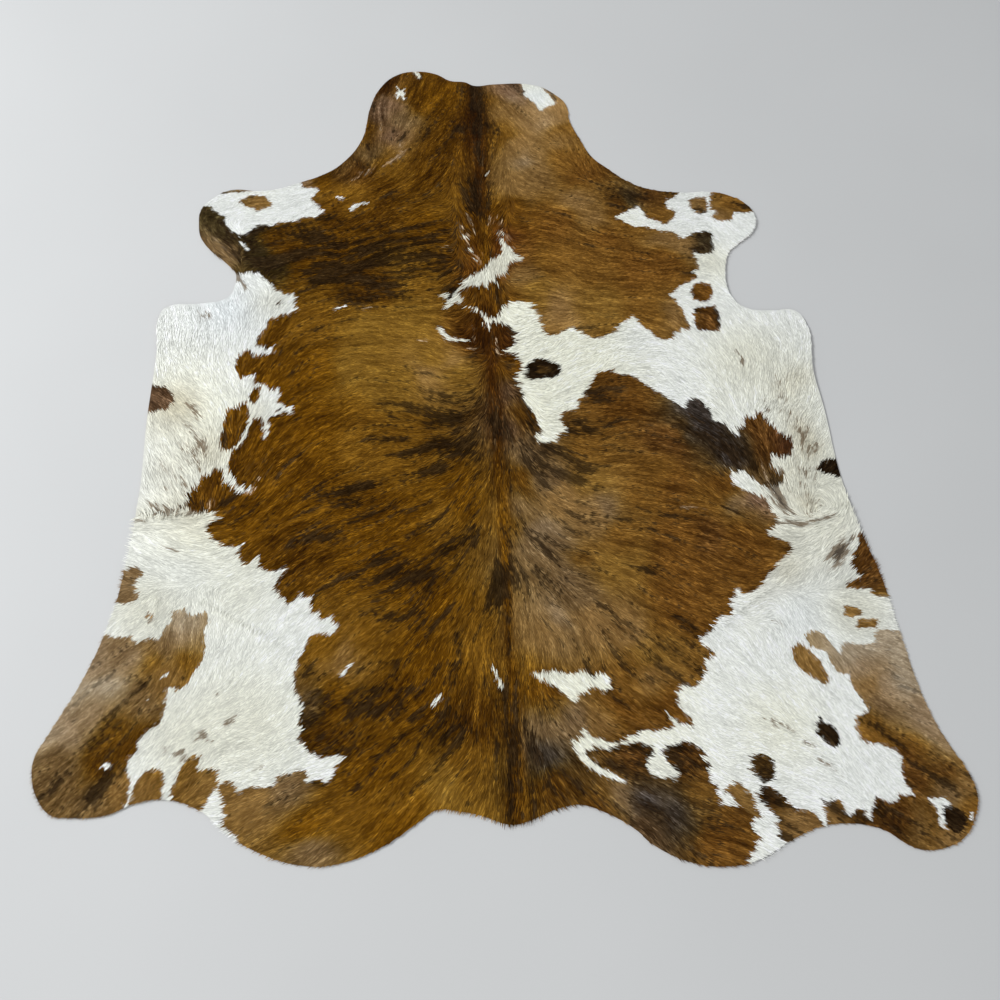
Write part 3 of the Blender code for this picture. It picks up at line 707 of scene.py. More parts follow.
# The heavy dark streaks, and a few lines of painted shade at folds and at the neck's curled rim:
# start, end, half width in centimetres, then how dark
STREAKS_AND_PAINTED_SHADE = (
    # left shoulder
    ((-54, 56), (-47, 53), 1.2, 0.8), ((-50, 57), (-42, 53), 1.6, 1.0), ((-46, 54), (-38, 51), 1.3, 0.9),
    ((-42, 56), (-31, 57), 0.8, 0.7), ((-33, 49), (-22, 49), 1.6, 1.0), ((-30, 47), (-24, 48), 1.2, 1.0),
    ((-19, 49), (-10, 47), 1.7, 0.9), ((-45, 45), (-33, 43), 1.9, 1.0), ((-58, 45), (-52, 43), 1.6, 0.8),
    ((-60, 48), (-50, 47), 1.4, 0.8), ((-46, 41), (-38, 40), 1.3, 0.9), ((-40, 41), (-28, 38), 1.6, 1.0),
    ((-38, 36.5), (-30, 34), 1.8, 1.0), ((-27, 37), (-22, 34), 1.6, 1.0), ((-14, 44), (-8, 43), 1.4, 0.9),
    ((-20, 42), (-8, 40), 1.0, 0.8), ((-12, 36), (-7, 36.5), 1.0, 1.0), ((-36, 46), (-20, 44), 0.9, 0.6),
    ((-45, 49), (-35, 47), 1.1, 0.8), ((-25, 53), (-12, 52), 0.9, 0.7), ((-52, 50), (-44, 50), 1.0, 0.7),
    ((-30, 40), (-18, 41), 0.9, 0.8), ((-60, 54), (-54, 52), 0.8, 0.4), ((-66, 55), (-60, 57), 0.9, 0.8),
    ((-64, 50), (-60, 46), 1.2, 0.7), ((-35, 62), (-31, 59), 0.8, 0.5),
    ((-44, 61), (-38, 59.5), 0.9, 0.8), ((-28, 57), (-20, 55), 0.7, 0.5),
    ((-76, 62), (-74, 57), 0.8, 0.9), ((-74, 57), (-67, 50), 0.5, 0.7), ((-71, 60), (-67, 55), 0.9, 0.8),
    ((-68, 55), (-62, 52.5), 0.9, 0.9), ((-66, 52), (-61, 47), 0.5, 0.6),
    ((-30, 43), (-22, 42.5), 0.6, 0.5),
    # neck
    ((-25, 70), (-23, 68), 1.2, 0.6), ((-14, 67.5), (-12, 66.5), 1.1, 0.5),
    ((-23.5, 92.5), (-22.5, 90), 1.2, 1.0), ((-30, 85.5), (-28.5, 82), 1.2, 1.0),
    ((-34, 81), (-32, 78), 1.1, 0.9), ((-10, 99), (-7, 95), 0.9, 0.5), ((-12, 95), (-15, 88), 0.9, 0.4),
    ((-7, 90), (-9, 83), 1.1, 0.5), ((-8, 79), (-3, 77), 1.5, 0.5), ((12.4, 108), (15, 105.4), 1.5, 1.3),
    ((23, 69), (26, 67.5), 1.1, 0.35), ((-20, 57), (-10, 57.5), 0.8, 0.6),
    ((-4.4, 92), (4, 92), 2.2, 1.0), ((0.3, 107), (0.3, 90), 1.9, 1.6), ((-2, 71), (-1, 62), 2.0, 1.5),
    ((0.6, 90), (1.4, 77), 0.9, 1.0), ((0.5, 70), (0.8, 60), 0.9, 0.8),
    # painted shade: the streaks on this line and the next lie where the neck's rim curls down
    ((-29.5, 100), (-25.5, 109.5), 0.9, 0.8), ((-31, 98), (-32, 90), 0.7, 0.5),
    ((22.4, 106.6), (23.6, 103.4), 0.5, 1.0), ((-25.5, 109.5), (-20, 112), 0.6, 0.5),
    ((-4.5, 107.5), (-1, 106.5), 1.2, 0.6), ((-12, 84), (-16, 80), 0.8, 0.4),
    ((-6, 74), (-10, 71), 0.9, 0.5),
    # right shoulder and foreleg
    ((37, 67), (46, 66), 1.7, 1.1), ((44, 64.5), (50, 65.4), 1.1, 1.1),
    ((48, 67.5), (56.5, 67), 1.1, 1.2), ((38, 64), (42, 61.5), 1.0, 0.9),
    ((60, 51.8), (65, 52.5), 1.5, 1.3), ((60, 48.5), (65, 49.5), 1.5, 1.3),
    ((55, 41), (59, 40.4), 0.7, 0.9), ((54, 53), (57, 51), 0.7, 0.5),
    ((61.4, 61.6), (64.6, 61.2), 1.1, 1.4), ((60, 64), (60.4, 62), 0.5, 0.6),
    ((75, 61.5), (77.6, 60.6), 0.9, 1.0), ((67, 66), (73, 66.8), 0.4, 0.6),
    ((57, 22.5), (59, 22.5), 0.9, 0.8), ((62, 22), (62.6, 24), 1.0, 1.0),
    ((57, 28.4), (58, 27), 0.9, 0.8), ((62, 28.4), (63, 27), 0.8, 0.7),
    ((57.2, 33), (57.4, 35.5), 0.7, 0.5), ((47, 20), (50, 21), 0.6, 0.5),
    # left of the back
    ((-29, 3), (-20, 2.6), 0.9, 1.0), ((-18, 6.5), (-12, 5), 0.7, 0.6), ((-16, 3), (-8, 2), 1.1, 0.9),
    ((-22, 1), (-14, -1), 0.8, 0.7), ((-7, 6), (-3, 0), 1.4, 0.9), ((-15, -3), (-8, -3), 1.5, 1.2),
    ((-12, 0.5), (-5, 1), 0.9, 0.8), ((-27, -1), (-18, -3), 0.6, 0.5), ((-30, -8), (-16, -9), 0.7, 0.7),
    ((-14, -10), (-5, -12), 1.7, 1.5), ((-22, -12), (-16, -12.5), 0.9, 0.6),
    ((-10, -6), (-4, -7), 0.8, 0.6), ((-18, -17.3), (-12, -17.3), 1.3, 1.2),
    ((-23, -19.5), (-17, -19.5), 0.7, 0.7), ((-43, -21.5), (-31, -20.5), 1.5, 0.9),
    ((-38, -24), (-28, -25), 1.3, 0.8), ((-34, -27), (-26, -27), 0.8, 0.6),
    ((-18, -20), (-18.5, -27), 0.4, 0.4), ((-6, -20), (-1, -16), 0.6, 0.5),
    ((-40, 11), (-30, 9.5), 0.6, 0.35), ((-52, 16), (-50, 8), 0.9, 0.5),
    ((-56, 0.6), (-51, 0.4), 0.6, 0.9), ((-66.5, -23), (-60, -25), 1.5, 0.8),
    ((-74.6, -21), (-72.8, -25), 0.9, 0.9), ((-66, -20.5), (-62, -22), 1.0, 0.7),
    ((-63, -26), (-55, -30), 1.2, 0.5), ((-67, -8.4), (-67, -4), 0.5, 0.6),
    ((-63, 17), (-60, 19), 0.8, 0.6), ((-4, 16), (-2.5, 8), 0.9, 0.7), ((1, -3), (3, -6), 1.7, 1.1),
    ((13, 11.2), (16, 11.2), 1.3, 0.6), ((-51, -31), (-50, -34), 0.7, 0.7),
    ((-48, -33.5), (-38, -34), 0.8, 0.8), ((-30, -40), (-24, -40), 0.8, 0.9),
    ((-26, -42.5), (-17, -44), 1.6, 1.2), ((-14, -39), (-6, -35), 1.5, 1.2),
    ((-20, -34), (-12, -36), 0.7, 0.5), ((-10, -42), (-3, -41), 1.1, 0.6),
    ((-1.4, -51), (0.2, -45), 1.6, 1.6), ((-5, -54), (-2, -49), 0.9, 0.9),
    ((-38, -44), (-34, -44), 1.0, 0.5), ((-30, -54), (-14, -55), 0.9, 0.7),
    ((-24, -57), (-16, -56), 0.8, 0.6), ((-16, -60), (-11, -60), 0.9, 0.7),
    ((-47, -63), (-45, -67), 1.0, 0.6), ((-28, -65), (-25, -68), 0.8, 0.5),
    # left rump
    ((-46, -71), (-40, -75), 0.9, 0.6), ((-47, -75), (-44, -79), 1.0, 1.0),
    ((-32, -72), (-22, -71.5), 1.1, 0.8), ((-35, -75), (-25, -74.5), 1.2, 1.0),
    ((-12, -67), (-10, -74), 0.9, 0.6), ((-20, -77), (-11, -79), 1.5, 0.9),
    ((-20, -80.5), (-12, -82), 1.3, 0.9), ((-19, -84), (-14, -84.5), 1.0, 0.9),
    ((-47, -79), (-40, -82), 1.2, 0.7), ((-45, -83.5), (-38, -84.5), 0.9, 0.8),
    ((-36, -85), (-30, -82), 0.9, 0.8), ((-30, -83), (-22, -81), 0.6, 0.6),
    ((-44, -91), (-40, -92), 0.7, 0.6), ((-46, -95), (-38, -97), 0.8, 0.4),
    ((-36, -92), (-32, -94), 0.6, 0.5), ((-10, -81), (-7, -83), 0.7, 0.7),
    ((-1, -72), (0, -88), 1.5, 1.05), ((-0.5, -88), (-0.5, -102), 1.6, 0.75),
    # right rump
    ((2, -80), (6, -82), 0.9, 0.5), ((3, -86), (9, -89), 0.9, 0.45), ((2, -92), (9, -95), 0.9, 0.5),
    ((5, -98), (12, -98), 0.9, 0.5), ((21, -72), (28, -77), 1.3, 0.7), ((34, -82), (37, -80.5), 0.8, 1.0),
    ((10, -92), (16, -95), 1.0, 0.4), ((16, -87), (24, -86.5), 0.6, 0.8),
    ((20, -90), (25, -91), 0.8, 0.9), ((28, -86.6), (32, -87), 0.8, 1.2),
    ((26, -90), (31, -90), 0.7, 0.6), ((27, -93), (31, -93), 0.9, 0.7), ((36, -88), (37, -91), 0.8, 1.2),
    ((37, -87), (43, -88.4), 0.9, 1.3), ((38, -90.4), (43, -91), 0.9, 1.0),
    ((42, -91), (44.6, -92), 0.8, 1.1), ((37, -94), (40, -95), 0.9, 0.9),
    ((30, -96), (38, -97), 0.9, 0.45), ((28, -99), (36, -102), 1.2, 0.5),
    ((38, -99), (44, -101), 1.0, 0.5), ((44, -103), (50, -105), 0.8, 0.7),
    ((38, -105), (46, -107), 0.7, 0.5), ((59, -90.5), (59, -95), 1.0, 1.0),
    ((55, -95), (58, -96), 0.9, 1.1), ((55, -98), (60, -100), 1.2, 1.2),
    ((57, -107), (60, -109), 1.0, 0.8), ((56, -101), (62, -106), 0.8, 0.6),
    # right of the back
    ((24, 5), (30, 3), 1.2, 1.0), ((27, 2), (33, 1.5), 0.9, 0.8), ((31, 5.5), (34, 3), 1.1, 0.8),
    ((33, 8.5), (37, 7.5), 0.8, 0.5), ((18, -3), (23, -5), 1.0, 0.8), ((20, -7), (26, -7.5), 0.9, 0.9),
    ((24, -8.5), (28, -9), 0.6, 0.5), ((10, -11), (15, -12.5), 1.6, 1.1), ((8, -14), (14, -19), 1.5, 0.7),
    ((17, -12), (21, -17), 1.6, 0.6), ((15, -18.4), (21, -20), 1.0, 1.1),
    ((12, -21), (10, -26), 0.9, 0.5), ((52, -1), (57, -6), 1.6, 0.45), ((51, -8), (60, -10), 1.6, 0.45),
    ((55, -13), (62, -16), 1.6, 0.5), ((61, -12), (66, -19), 1.4, 0.9),
    ((75.6, -14.5), (76.6, -10.6), 0.9, 0.8), ((66.5, -22.5), (70, -24), 0.9, 1.0),
    ((69, -20), (72.6, -23), 1.0, 0.6), ((64.5, -9), (66.5, -17), 0.7, 0.6),
    ((33, -21), (37, -20), 1.3, 0.4), ((35, -14), (38, -15), 0.7, 0.4), ((8, 3), (10.4, -3), 1.1, 1.1),
    ((10.2, -3), (11, -7), 1.2, 1.2), ((4, 24), (7, 20), 1.0, 0.5), ((4, -33), (7, -40), 1.2, 0.5),
    ((10, -38), (14, -40), 0.8, 0.6), ((9, -43), (14, -48), 1.4, 0.8), ((8, -46), (16, -51), 0.9, 0.6),
    ((12, -41), (17, -44), 0.8, 0.5), ((35, -45), (39, -44), 0.5, 0.7), ((20, -45), (26, -46), 0.6, 0.5),
    ((22, -54), (28, -54), 0.6, 0.7), ((24, -59), (29, -60), 0.8, 0.6), ((40, -56), (46, -59), 0.8, 0.7),
    ((44, -59), (46, -60.5), 0.9, 1.0), ((36, -65), (44, -64), 0.9, 0.6),
    ((14, -60), (20, -64), 0.9, 0.35), ((30, -66), (36, -68), 0.8, 0.4), ((35, -71), (40, -73), 0.9, 0.5),
    # painted shade: the first streak on this line is the shadow under the fold across the right of the
    # back
    ((15, -31.4), (60, -31.4), 0.7, 0.3), ((44, -68), (46, -71), 0.8, 0.5),
    ((0.8, -50), (1.2, -68), 0.5, 0.6),
    # hind legs
    ((-82, -67), (-91, -75), 0.7, 0.6), ((-84, -79), (-90, -84), 1.2, 0.6),
    ((-88.5, -85.6), (-91, -91), 1.2, 1.1), ((-98, -88), (-103, -91), 1.0, 0.5),
    ((-92, -90), (-98, -94), 1.1, 0.5), ((-70, -51), (-69.4, -53.5), 0.8, 0.5),
    ((-88.6, -45), (-85.4, -47.6), 0.6, 0.7), ((-88.5, -41), (-85, -40.6), 0.5, 0.4),
    ((-88.8, -43.6), (-86.4, -43.6), 0.4, 0.5), ((88.6, -39), (90.6, -45), 0.8, 0.6),
    ((87, -47), (90, -51), 0.9, 0.6), ((-82, -66), (-88, -73), 0.5, 0.7),
    ((-87, -76), (-93, -80), 1.1, 0.9), ((70, -100), (73, -104), 1.1, 1.2),
    ((75.5, -103), (78, -106), 1.1, 1.5), ((81, -102), (86, -107), 1.9, 1.3),
    ((88, -105), (93, -108), 1.0, 0.4), ((91, -93), (99, -99), 0.9, 0.9),
    ((84, -84), (90, -90), 0.7, 0.7), ((96, -96), (102, -101), 0.9, 0.5),
)
# Pale strands and creases of the leather that show through: the same columns
PALE_STREAKS = (
    ((-35, 74), (-27, 78.5), 0.8, 0.36), ((-27, 78.5), (-21.4, 81.6), 0.9, 0.42),
    ((-21.4, 81.6), (-20.8, 87), 1.0, 0.38), ((-26, 103), (-26.5, 92), 1.4, 0.38),
    ((-3.2, 60), (-2.4, 57), 0.4, 0.5), ((-5.6, 57), (-3.6, 54), 0.4, 0.6),
    ((-4.4, 52), (-2.2, 49), 0.4, 0.6), ((3, 60), (4.4, 56), 0.4, 0.5), ((4.6, 58), (7, 54), 0.5, 0.6),
    ((-2, 47.5), (0.2, 45.5), 0.4, 0.5), ((-2.6, 25), (-4, 18), 0.4, 0.6),
    ((2.6, 20), (3.6, 15), 0.4, 0.5), ((-10.6, 50.2), (-9.8, 49.7), 0.35, 0.6),
    ((-15.6, 20.6), (-15, 20), 0.3, 0.8), ((-75, 50), (-67, 44), 0.6, 0.5),
    ((-71, 46), (-66, 41), 0.5, 0.7), ((-73, 55), (-66, 47), 0.3, 0.35),
    ((-48.6, 72.6), (-47, 71.6), 0.8, 0.7), ((66, -24), (70, -30), 0.5, 0.9),
    ((68, -17), (69, -24), 0.4, 0.5), ((47, -29), (50, -29), 0.5, 0.4), ((-32, 31), (-30, 32), 0.4, 0.4),
    ((-68.6, -23.8), (-70.4, -26), 0.3, 0.7), ((-60, -21), (-58.6, -19.6), 0.4, 0.9),
)


def towards(colour, other, share):
    """A colour moved towards another by a share from 0 to 1 at each point."""
    return colour + share[..., None] * (np.array(other) - colour)


def tone_at(x, y):
    """The brown at each point before stripes, with the painted sheen, as linear red, green and blue."""
    mixed, total = np.zeros(x.shape + (3,)), np.zeros(x.shape)
    for name, places in TONE_PLACES:
        colour = np.log(TONES[name])
        for px, py in places:
            near = 1.0 / ((x - px) ** 2 + (y - py) ** 2 + TONE_BLEND) ** TONE_FALL
            mixed += near[..., None] * colour
            total += near
    # painted sheen: the right side turns more grey with distance from the spine
    painted_sheen = smooth(x / RIGHT_SIDE_SHEEN_FROM)[..., None] * RIGHT_SIDE_SHEEN
    return np.exp(mixed / total[..., None]) + painted_sheen


def spine_at(x, y):
    """How much the spine's own tone shows at each point, and that tone."""
    along, middles, names, halves = zip(*reversed(SPINE))
    half = np.interp(y, along, halves)
    middle = np.interp(y, along, middles)
    wander = SPINE_WANDER * grain(x * 0, y, cell=9.0, seed=8)
    share = np.exp(-np.abs((x - middle + wander) / half) ** 2.4)
    tones = np.array([TONES[name] for name in names])
    return share, np.stack([np.interp(y, along, tones[:, part]) for part in range(3)], -1)


def brindle_at(x, y):
    """How thick the thin dark streaks stand at each point."""
    most = np.full(x.shape, PLAIN_BRINDLE)
    for (px, py), (wide, high), strength in BRINDLE:
        away = ((x - px) / wide) ** 2 + ((y - py) / high) ** 2
        most = np.maximum(most, strength * np.exp(-0.7 * away**1.5))
    return most


def streak_at(x, y, rows):
    """How strongly the streaks of a table show at each point."""
    most = np.zeros(x.shape)
    for start, end, half, strength in rows:
        away = beside(x, y, start, end) / half
        most = np.maximum(most, strength * np.exp(-0.5 * away**1.4))
    return most


print(len(TONES), "tones at", sum(len(places) for _, places in TONE_PLACES), "places")
print(len(STREAKS_AND_PAINTED_SHADE), "dark streaks and", len(PALE_STREAKS), "pale ones")

# %% [markdown]
# White hair is not one white either. Along the back it is creamy, on the forelegs and groins cooler,
# and on the flanks the long hair is stained beige. Brown hairs stand in it singly and in small
# tufts. They are laid as streaks too, but of a thinner brown, and so are the painted shadow lines
# under the folds of the flanks.

# %% Tones of the white hair
WHITES = {
    "cream": (0.86, 0.85, 0.72),
    "cool": (0.85, 0.86, 0.82),
    "bluish": (0.76, 0.79, 0.80),
    "beige": (0.56, 0.51, 0.37),
    "ivory": (0.73, 0.72, 0.62),
}
# Each row is a white, then a place, how far it reaches in centimetres and how much it shows.
WHITE_PLACES = (
    ("cream", (-78, 6), 14, 0.8), ("cream", (-70, -6), 12, 0.8), ("cream", (-72, -32), 13, 1.0),
    ("cream", (-60, -46), 10, 0.5), ("cream", (78, 2), 15, 0.6), ("cream", (80, -26), 15, 0.9),
    ("cream", (66, 12), 10, 0.7), ("cream", (66, 42), 6, 0.5), ("cream", (-62, 70), 5, 0.4),
    ("bluish", (-78, -44), 9, 0.7), ("bluish", (-90, -52), 7, 0.6), ("bluish", (76, -56), 9, 0.6),
    ("bluish", (84, -52), 7, 0.5), ("bluish", (-68, 32), 9, 0.8), ("ivory", (-73, -80), 12, 0.9),
    ("ivory", (85, -57), 8, 0.9), ("ivory", (-84, -50), 8, 0.9), ("beige", (-76, 2), 4, 0.35),
    ("beige", (-72, -8), 5, 0.4), ("beige", (-80, -14), 5, 0.35), ("beige", (-77, -23), 5, 0.55),
    ("beige", (-70, -12), 4, 0.45), ("beige", (-82, -3), 6, 0.2), ("beige", (-74, -31), 6, 0.25),
    ("beige", (-86, -27), 4, 0.3), ("beige", (-58, -38), 3, 0.3), ("beige", (77, 3), 4, 0.35),
    ("beige", (83, 8), 4, 0.25), ("beige", (79, -6), 5, 0.35), ("beige", (81, -13), 5, 0.45),
    ("beige", (77, -21), 5, 0.45), ("beige", (72, -27), 4, 0.35), ("beige", (72, -36), 6, 0.3),
    ("beige", (84, -37), 6, 0.25), ("beige", (82, -44), 5, 0.25), ("beige", (68, -45), 6, 0.3),
    ("beige", (62, -51), 5, 0.22), ("beige", (-73, -26), 4, 0.3), ("beige", (-60, 1), 5, 0.3),
    ("beige", (-66, -8), 5, 0.2), ("ivory", (-82, -50), 12, 0.8), ("ivory", (-78, -22), 12, 0.5),
    ("ivory", (-66, -50), 9, 0.4), ("ivory", (86, -56), 8, 0.8), ("ivory", (82, -26), 12, 0.7),
    ("ivory", (72, -42), 9, 0.7), ("beige", (81, 6), 4, 0.35), ("beige", (80, -9), 3, 0.45),
    ("beige", (81, -14), 3.5, 0.45), ("beige", (78, -29), 3, 0.5), ("cream", (-58, -78), 14, 0.8),
    ("cream", (62, -84), 10, 0.8), ("ivory", (3, 43), 9, 1.0), ("beige", (5, 44), 5, 0.25),
    ("ivory", (-8, 33), 5, 0.9), ("bluish", (19, 103), 6, 0.7), ("ivory", (-56, 34), 6, 0.6),
    # painted shade: the ivory at (63, 44) on the line below darkens the white by the right foreleg
    ("ivory", (63, 44), 6, 0.9), ("beige", (-80, 4), 6, 0.8), ("ivory", (-62, -76), 12, 0.6),
    ("ivory", (70, 13), 9, 0.9), ("beige", (70, -46), 5, 0.3),
)
CREAM_FROM, CREAM_WIDTH = 8, 55  # the cream's middle and how far it runs out, in centimetres
FRECKLE_AND_SHADOW = (0.20, 0.145, 0.090)
# Brown hairs in the white, and painted shadow lines under folds of the flanks: start and end of the
# tuft or line, half width in centimetres, how thick
STAINS_AND_SHADOW_LINES = (
    ((67, 14.5), (67.4, 13.5), 0.5, 0.7), ((72, -0.6), (72.4, -2.4), 0.6, 0.9),
    ((74.6, 5), (76, 4), 0.5, 0.5), ((78, 8), (81, 6.6), 0.5, 0.35), ((76, 2.4), (77, -3), 0.7, 0.45),
    ((77, -4), (79, -6), 0.6, 0.5), ((79, -7), (80.6, -10), 0.7, 0.6), ((78, -9), (79.6, -11), 0.5, 0.5),
    ((80, -12), (82, -13.6), 0.6, 0.5), ((80.6, -15.6), (83.4, -13.6), 0.7, 0.75),
    ((76.6, -17), (77.6, -19.6), 0.5, 0.5), ((78.6, -21.4), (82, -20.4), 0.5, 0.6),
    # painted shadow: the second stroke here and the first on the next line follow the right crease
    ((77, -26), (78.4, -30), 0.7, 0.6), ((68, -33.6), (76, -35), 0.4, 0.6),
    ((76, -35), (84, -32.6), 0.4, 0.6), ((82.6, -44), (84.8, -40.8), 0.9, 1.3),
    ((80.6, -47), (81.6, -45.6), 0.5, 0.4), ((68, -25), (70.4, -30), 0.4, 0.7),
    ((70, -25), (72.4, -31), 0.7, 1.1), ((71.6, -16.6), (73, -21), 0.5, 0.4),
    ((74, -25), (75.6, -28), 0.5, 0.5), ((-75.4, 3.4), (-75, 1), 0.7, 0.6),
    ((-77, -1), (-76, -3), 0.6, 0.5), ((-73.6, -5), (-72, -9), 0.8, 0.6),
    ((-77, -8), (-75, -12), 0.7, 0.55), ((-82, -13.6), (-79.6, -14.6), 0.7, 0.5),
    # painted shadow: both strokes on this line lie under the fold of the left flank
    ((-83, -24), (-79, -25.2), 0.5, 0.7), ((-82, -25), (-74, -26), 0.6, 1.0),
    ((-76.6, -15), (-76, -20), 0.6, 0.5), ((-79, -18), (-79.6, -23), 0.5, 0.45),
    ((-73.6, -10), (-73, -14.6), 0.5, 0.6), ((-88, -26.6), (-86, -28), 0.5, 0.4),
    ((-79, -35), (-76, -36), 0.3, 0.5), ((-76, 29), (-73, 30), 0.6, 0.4),
    ((-66, 44), (-63, 37), 0.3, 0.8), ((-68, 47), (-65.6, 41), 0.5, 0.8),
    ((-62.5, -76), (-62.2, -76.4), 0.5, 0.7), ((-69, -79), (-68.6, -79.4), 0.7, 0.7),
    ((-67, -80.5), (-66.8, -80.9), 0.4, 0.6), ((-77, -82), (-76.6, -82.2), 0.6, 0.5),
    ((-74, -83), (-73.7, -83.4), 0.5, 0.6), ((-72, -84.5), (-71.8, -84.9), 0.5, 0.6),
    ((-66, -70), (-65.8, -70.4), 0.3, 0.5), ((-56, -87), (-55.8, -87.4), 0.3, 0.5),
    ((60.8, -82.2), (61, -82.8), 0.6, 0.8), ((64, -84), (64.2, -84.4), 0.5, 0.5),
    ((67, -87.3), (67.2, -87.6), 0.5, 0.5), ((69, -88.2), (69.2, -88.5), 0.4, 0.5),
    ((71, -92), (71.2, -92.4), 0.5, 0.5), ((73, -94), (73.2, -94.4), 0.5, 0.5),
    ((-62, 62), (-61.8, 62.2), 0.3, 0.4), ((65.6, -59), (65.9, -59.3), 0.5, 0.4),
    ((-82, -51), (-81.6, -52), 0.6, 0.5),
)


def white_at(x, y):
    """The white at each point: creamy along the back, cool at the sides, then the list's places."""
    away = np.abs(x - CREAM_FROM) / CREAM_WIDTH
    cream = smooth(1.1 - away + 0.25 * grain(x, y, cell=10.0, seed=11))
    colour = towards(np.array(WHITES["cool"]), WHITES["cream"], cream)
    for name, (px, py), reach, most in WHITE_PLACES:
        share = most * np.exp(-((x - px) ** 2 + (y - py) ** 2) / reach**2)
        colour = towards(colour, WHITES[name], share)
    return colour


print(len(WHITES), "whites and", len(STAINS_AND_SHADOW_LINES), "tufts of brown in them")

# %% [markdown]
# Now the coat can be read at any point. Two things make it look grown and not drawn. The place is
# first pushed along the hair by a noise that is stretched the same way, which turns a smooth border
# into tongues and bays. And the stripes of the brindle are a noise averaged along the hair, so they
# run as the hair does.

# %% The coat at any point
# Patches that are neither plain brown nor white, and the tone that each has all over
PATCH_TONES = {"tan": "tan", "dark": "bark", "black": "ink"}
KINDS = ["brown", "white", *PATCH_TONES]
# How far the borders are pushed along the hair in centimetres, by noise and for each lock by chance
FRAY = 0.35
LOCK_FRAY = 0.8
FULL_FRAY = 1.8  # hair shorter than this, in centimetres, frays less
TONE_WANDER = 1.5  # how far the tones of the brown wander from their places, in centimetres
STREAK_WANDER = 0.5  # how far a streak is torn along the hair, as a share of the hair's length
UNLIKE = 97.0  # a lock's chance times this leaves a second chance behind the point
SINGLE = 2.2  # the longer the hair, the more its locks differ, up to this length in centimetres
DARK_FROM = 0.62  # streaks much weaker than this leave the hair brown
WARMTH = np.array([0.95, 1.05, 1.2])  # a lighter lock is paler, a darker one redder
DARKEST, LIGHTEST = 0.001, 0.92  # no hair is blacker or whiter
COMB_STEPS = 9  # how many readings one noise along the hair is the mean of


def combed(x, y, east, north, cell, reach, seed):
    """Noise drawn out along the hair, with a spread of 1."""
    steps = np.linspace(-reach, reach, COMB_STEPS)
    drawn = sum(grain(x + step * east, y + step * north, cell, seed) for step in steps)
    return drawn / drawn.std()


def among(strength, mixed):
    """How much of each lock a streak colours: its middle takes all, its edge single hairs."""
    return smooth(1.6 * (strength + mixed * np.minimum(1, 3 * strength**2)) - 0.35)


def patch_at(x, y, east, north, length, chance):
    """The patch at each point, as a place in KINDS."""
    push = FRAY * combed(x, y, east, north, cell=0.6, reach=1.2, seed=21)
    push = (push + LOCK_FRAY * (chance - 0.5)) * np.minimum(length, FULL_FRAY) / FULL_FRAY
    px, py = x + push * east, y + push * north
    patch = np.zeros(x.shape, int)
    for _, kind, corners in PATCHES:
        patch[inside(px, py, corners)] = KINDS.index(kind)
    for start, end, width in WHITE_STROKES:
        patch[beside(x, y, start, end) < width / 2] = KINDS.index("white")
    return patch


def brown_at(x, y, patch):
    """The brown at each point before any streaks."""
    east = TONE_WANDER * grain(x, y, cell=5.0, seed=22)
    north = TONE_WANDER * grain(x, y, cell=5.0, seed=23)
    brown = tone_at(x + east, y + north)
    share, spine = spine_at(x, y)
    brown = towards(brown, spine, share)
    for kind, tone in PATCH_TONES.items():
        brown[patch == KINDS.index(kind)] = TONES[tone]
    return brown


def coat_at(x, y, east, north, length, chance):
    """The hair's colour at each point, and whether it is white. `chance` is from 0 to 1."""
    patch = patch_at(x, y, east, north, length, chance)
    brown = brown_at(x, y, patch)
    # Noises along the hair, from broad to fine. Their weights below were all set one by one.
    clump = combed(x, y, east, north, cell=1.3, reach=5.0, seed=24)
    stripe = combed(x, y, east, north, cell=0.9, reach=7.0, seed=26)
    strand = combed(x, y, east, north, cell=0.6, reach=3.6, seed=25)
    wisp = combed(x, y, east, north, cell=0.35, reach=1.2, seed=28)
    other = np.minimum(length, SINGLE) * (np.modf(chance * UNLIKE)[0] - 0.5)
    mixed = 0.28 * stripe + 0.26 * strand + 0.14 * wisp + 0.13 * other
    stray = STREAK_WANDER * length * combed(x, y, east, north, cell=0.7, reach=0.8, seed=27)
    sx, sy = x + stray * east, y + stray * north

    # Dark hairs stand where streaks, brindle and noise together are strong. On pale hair they show
    # less.
    # The streak table's painted shade lines darken the hair here in the same way
    level = 0.95 * streak_at(sx, sy, STREAKS_AND_PAINTED_SHADE) + 1.1 * brindle_at(x, y) + 0.20 * clump - DARK_FROM
    dark = np.clip(1.2 - 1.3 * brown[:, 0], 0.6, 0.94) * smooth(1.50 * (level + mixed) + 0.13)
    pale = 0.85 * among(streak_at(sx, sy, PALE_STREAKS), mixed)
    # No two locks are equally light, and dark brown varies more than tan
    lift = 0.09 * clump + 0.20 * strand + 0.16 * wisp + 0.65 * (chance - 0.5)
    lift = lift * np.clip(0.30 / (0.06 + brown[:, 0]), 0.8, 1.7) - 0.03
    brown = towards(brown, TONES["ink"], dark)
    brown = towards(brown, TONES["blond"], pale)
    brown = brown * np.exp(lift[..., None] * WARMTH)

    fleece = white_at(x, y) * (1 + 0.06 * wisp + 0.04 * strand + 0.28 * (chance - 0.5))[..., None]
    tuft_or_shadow = streak_at(sx, sy, STAINS_AND_SHADOW_LINES)
    fleece = towards(fleece, FRECKLE_AND_SHADOW, 0.9 * among(1.4 * tuft_or_shadow, mixed))
    # Rows from 0.75 up get a dark middle: the darkest tufts, and the painted shadow under folds
    fleece = towards(fleece, TONES["soot"], 0.8 * smooth(4 * tuft_or_shadow - 3))
    white = patch == KINDS.index("white")
    return np.clip(np.where(white[..., None], fleece, brown), DARKEST, LIGHTEST), white


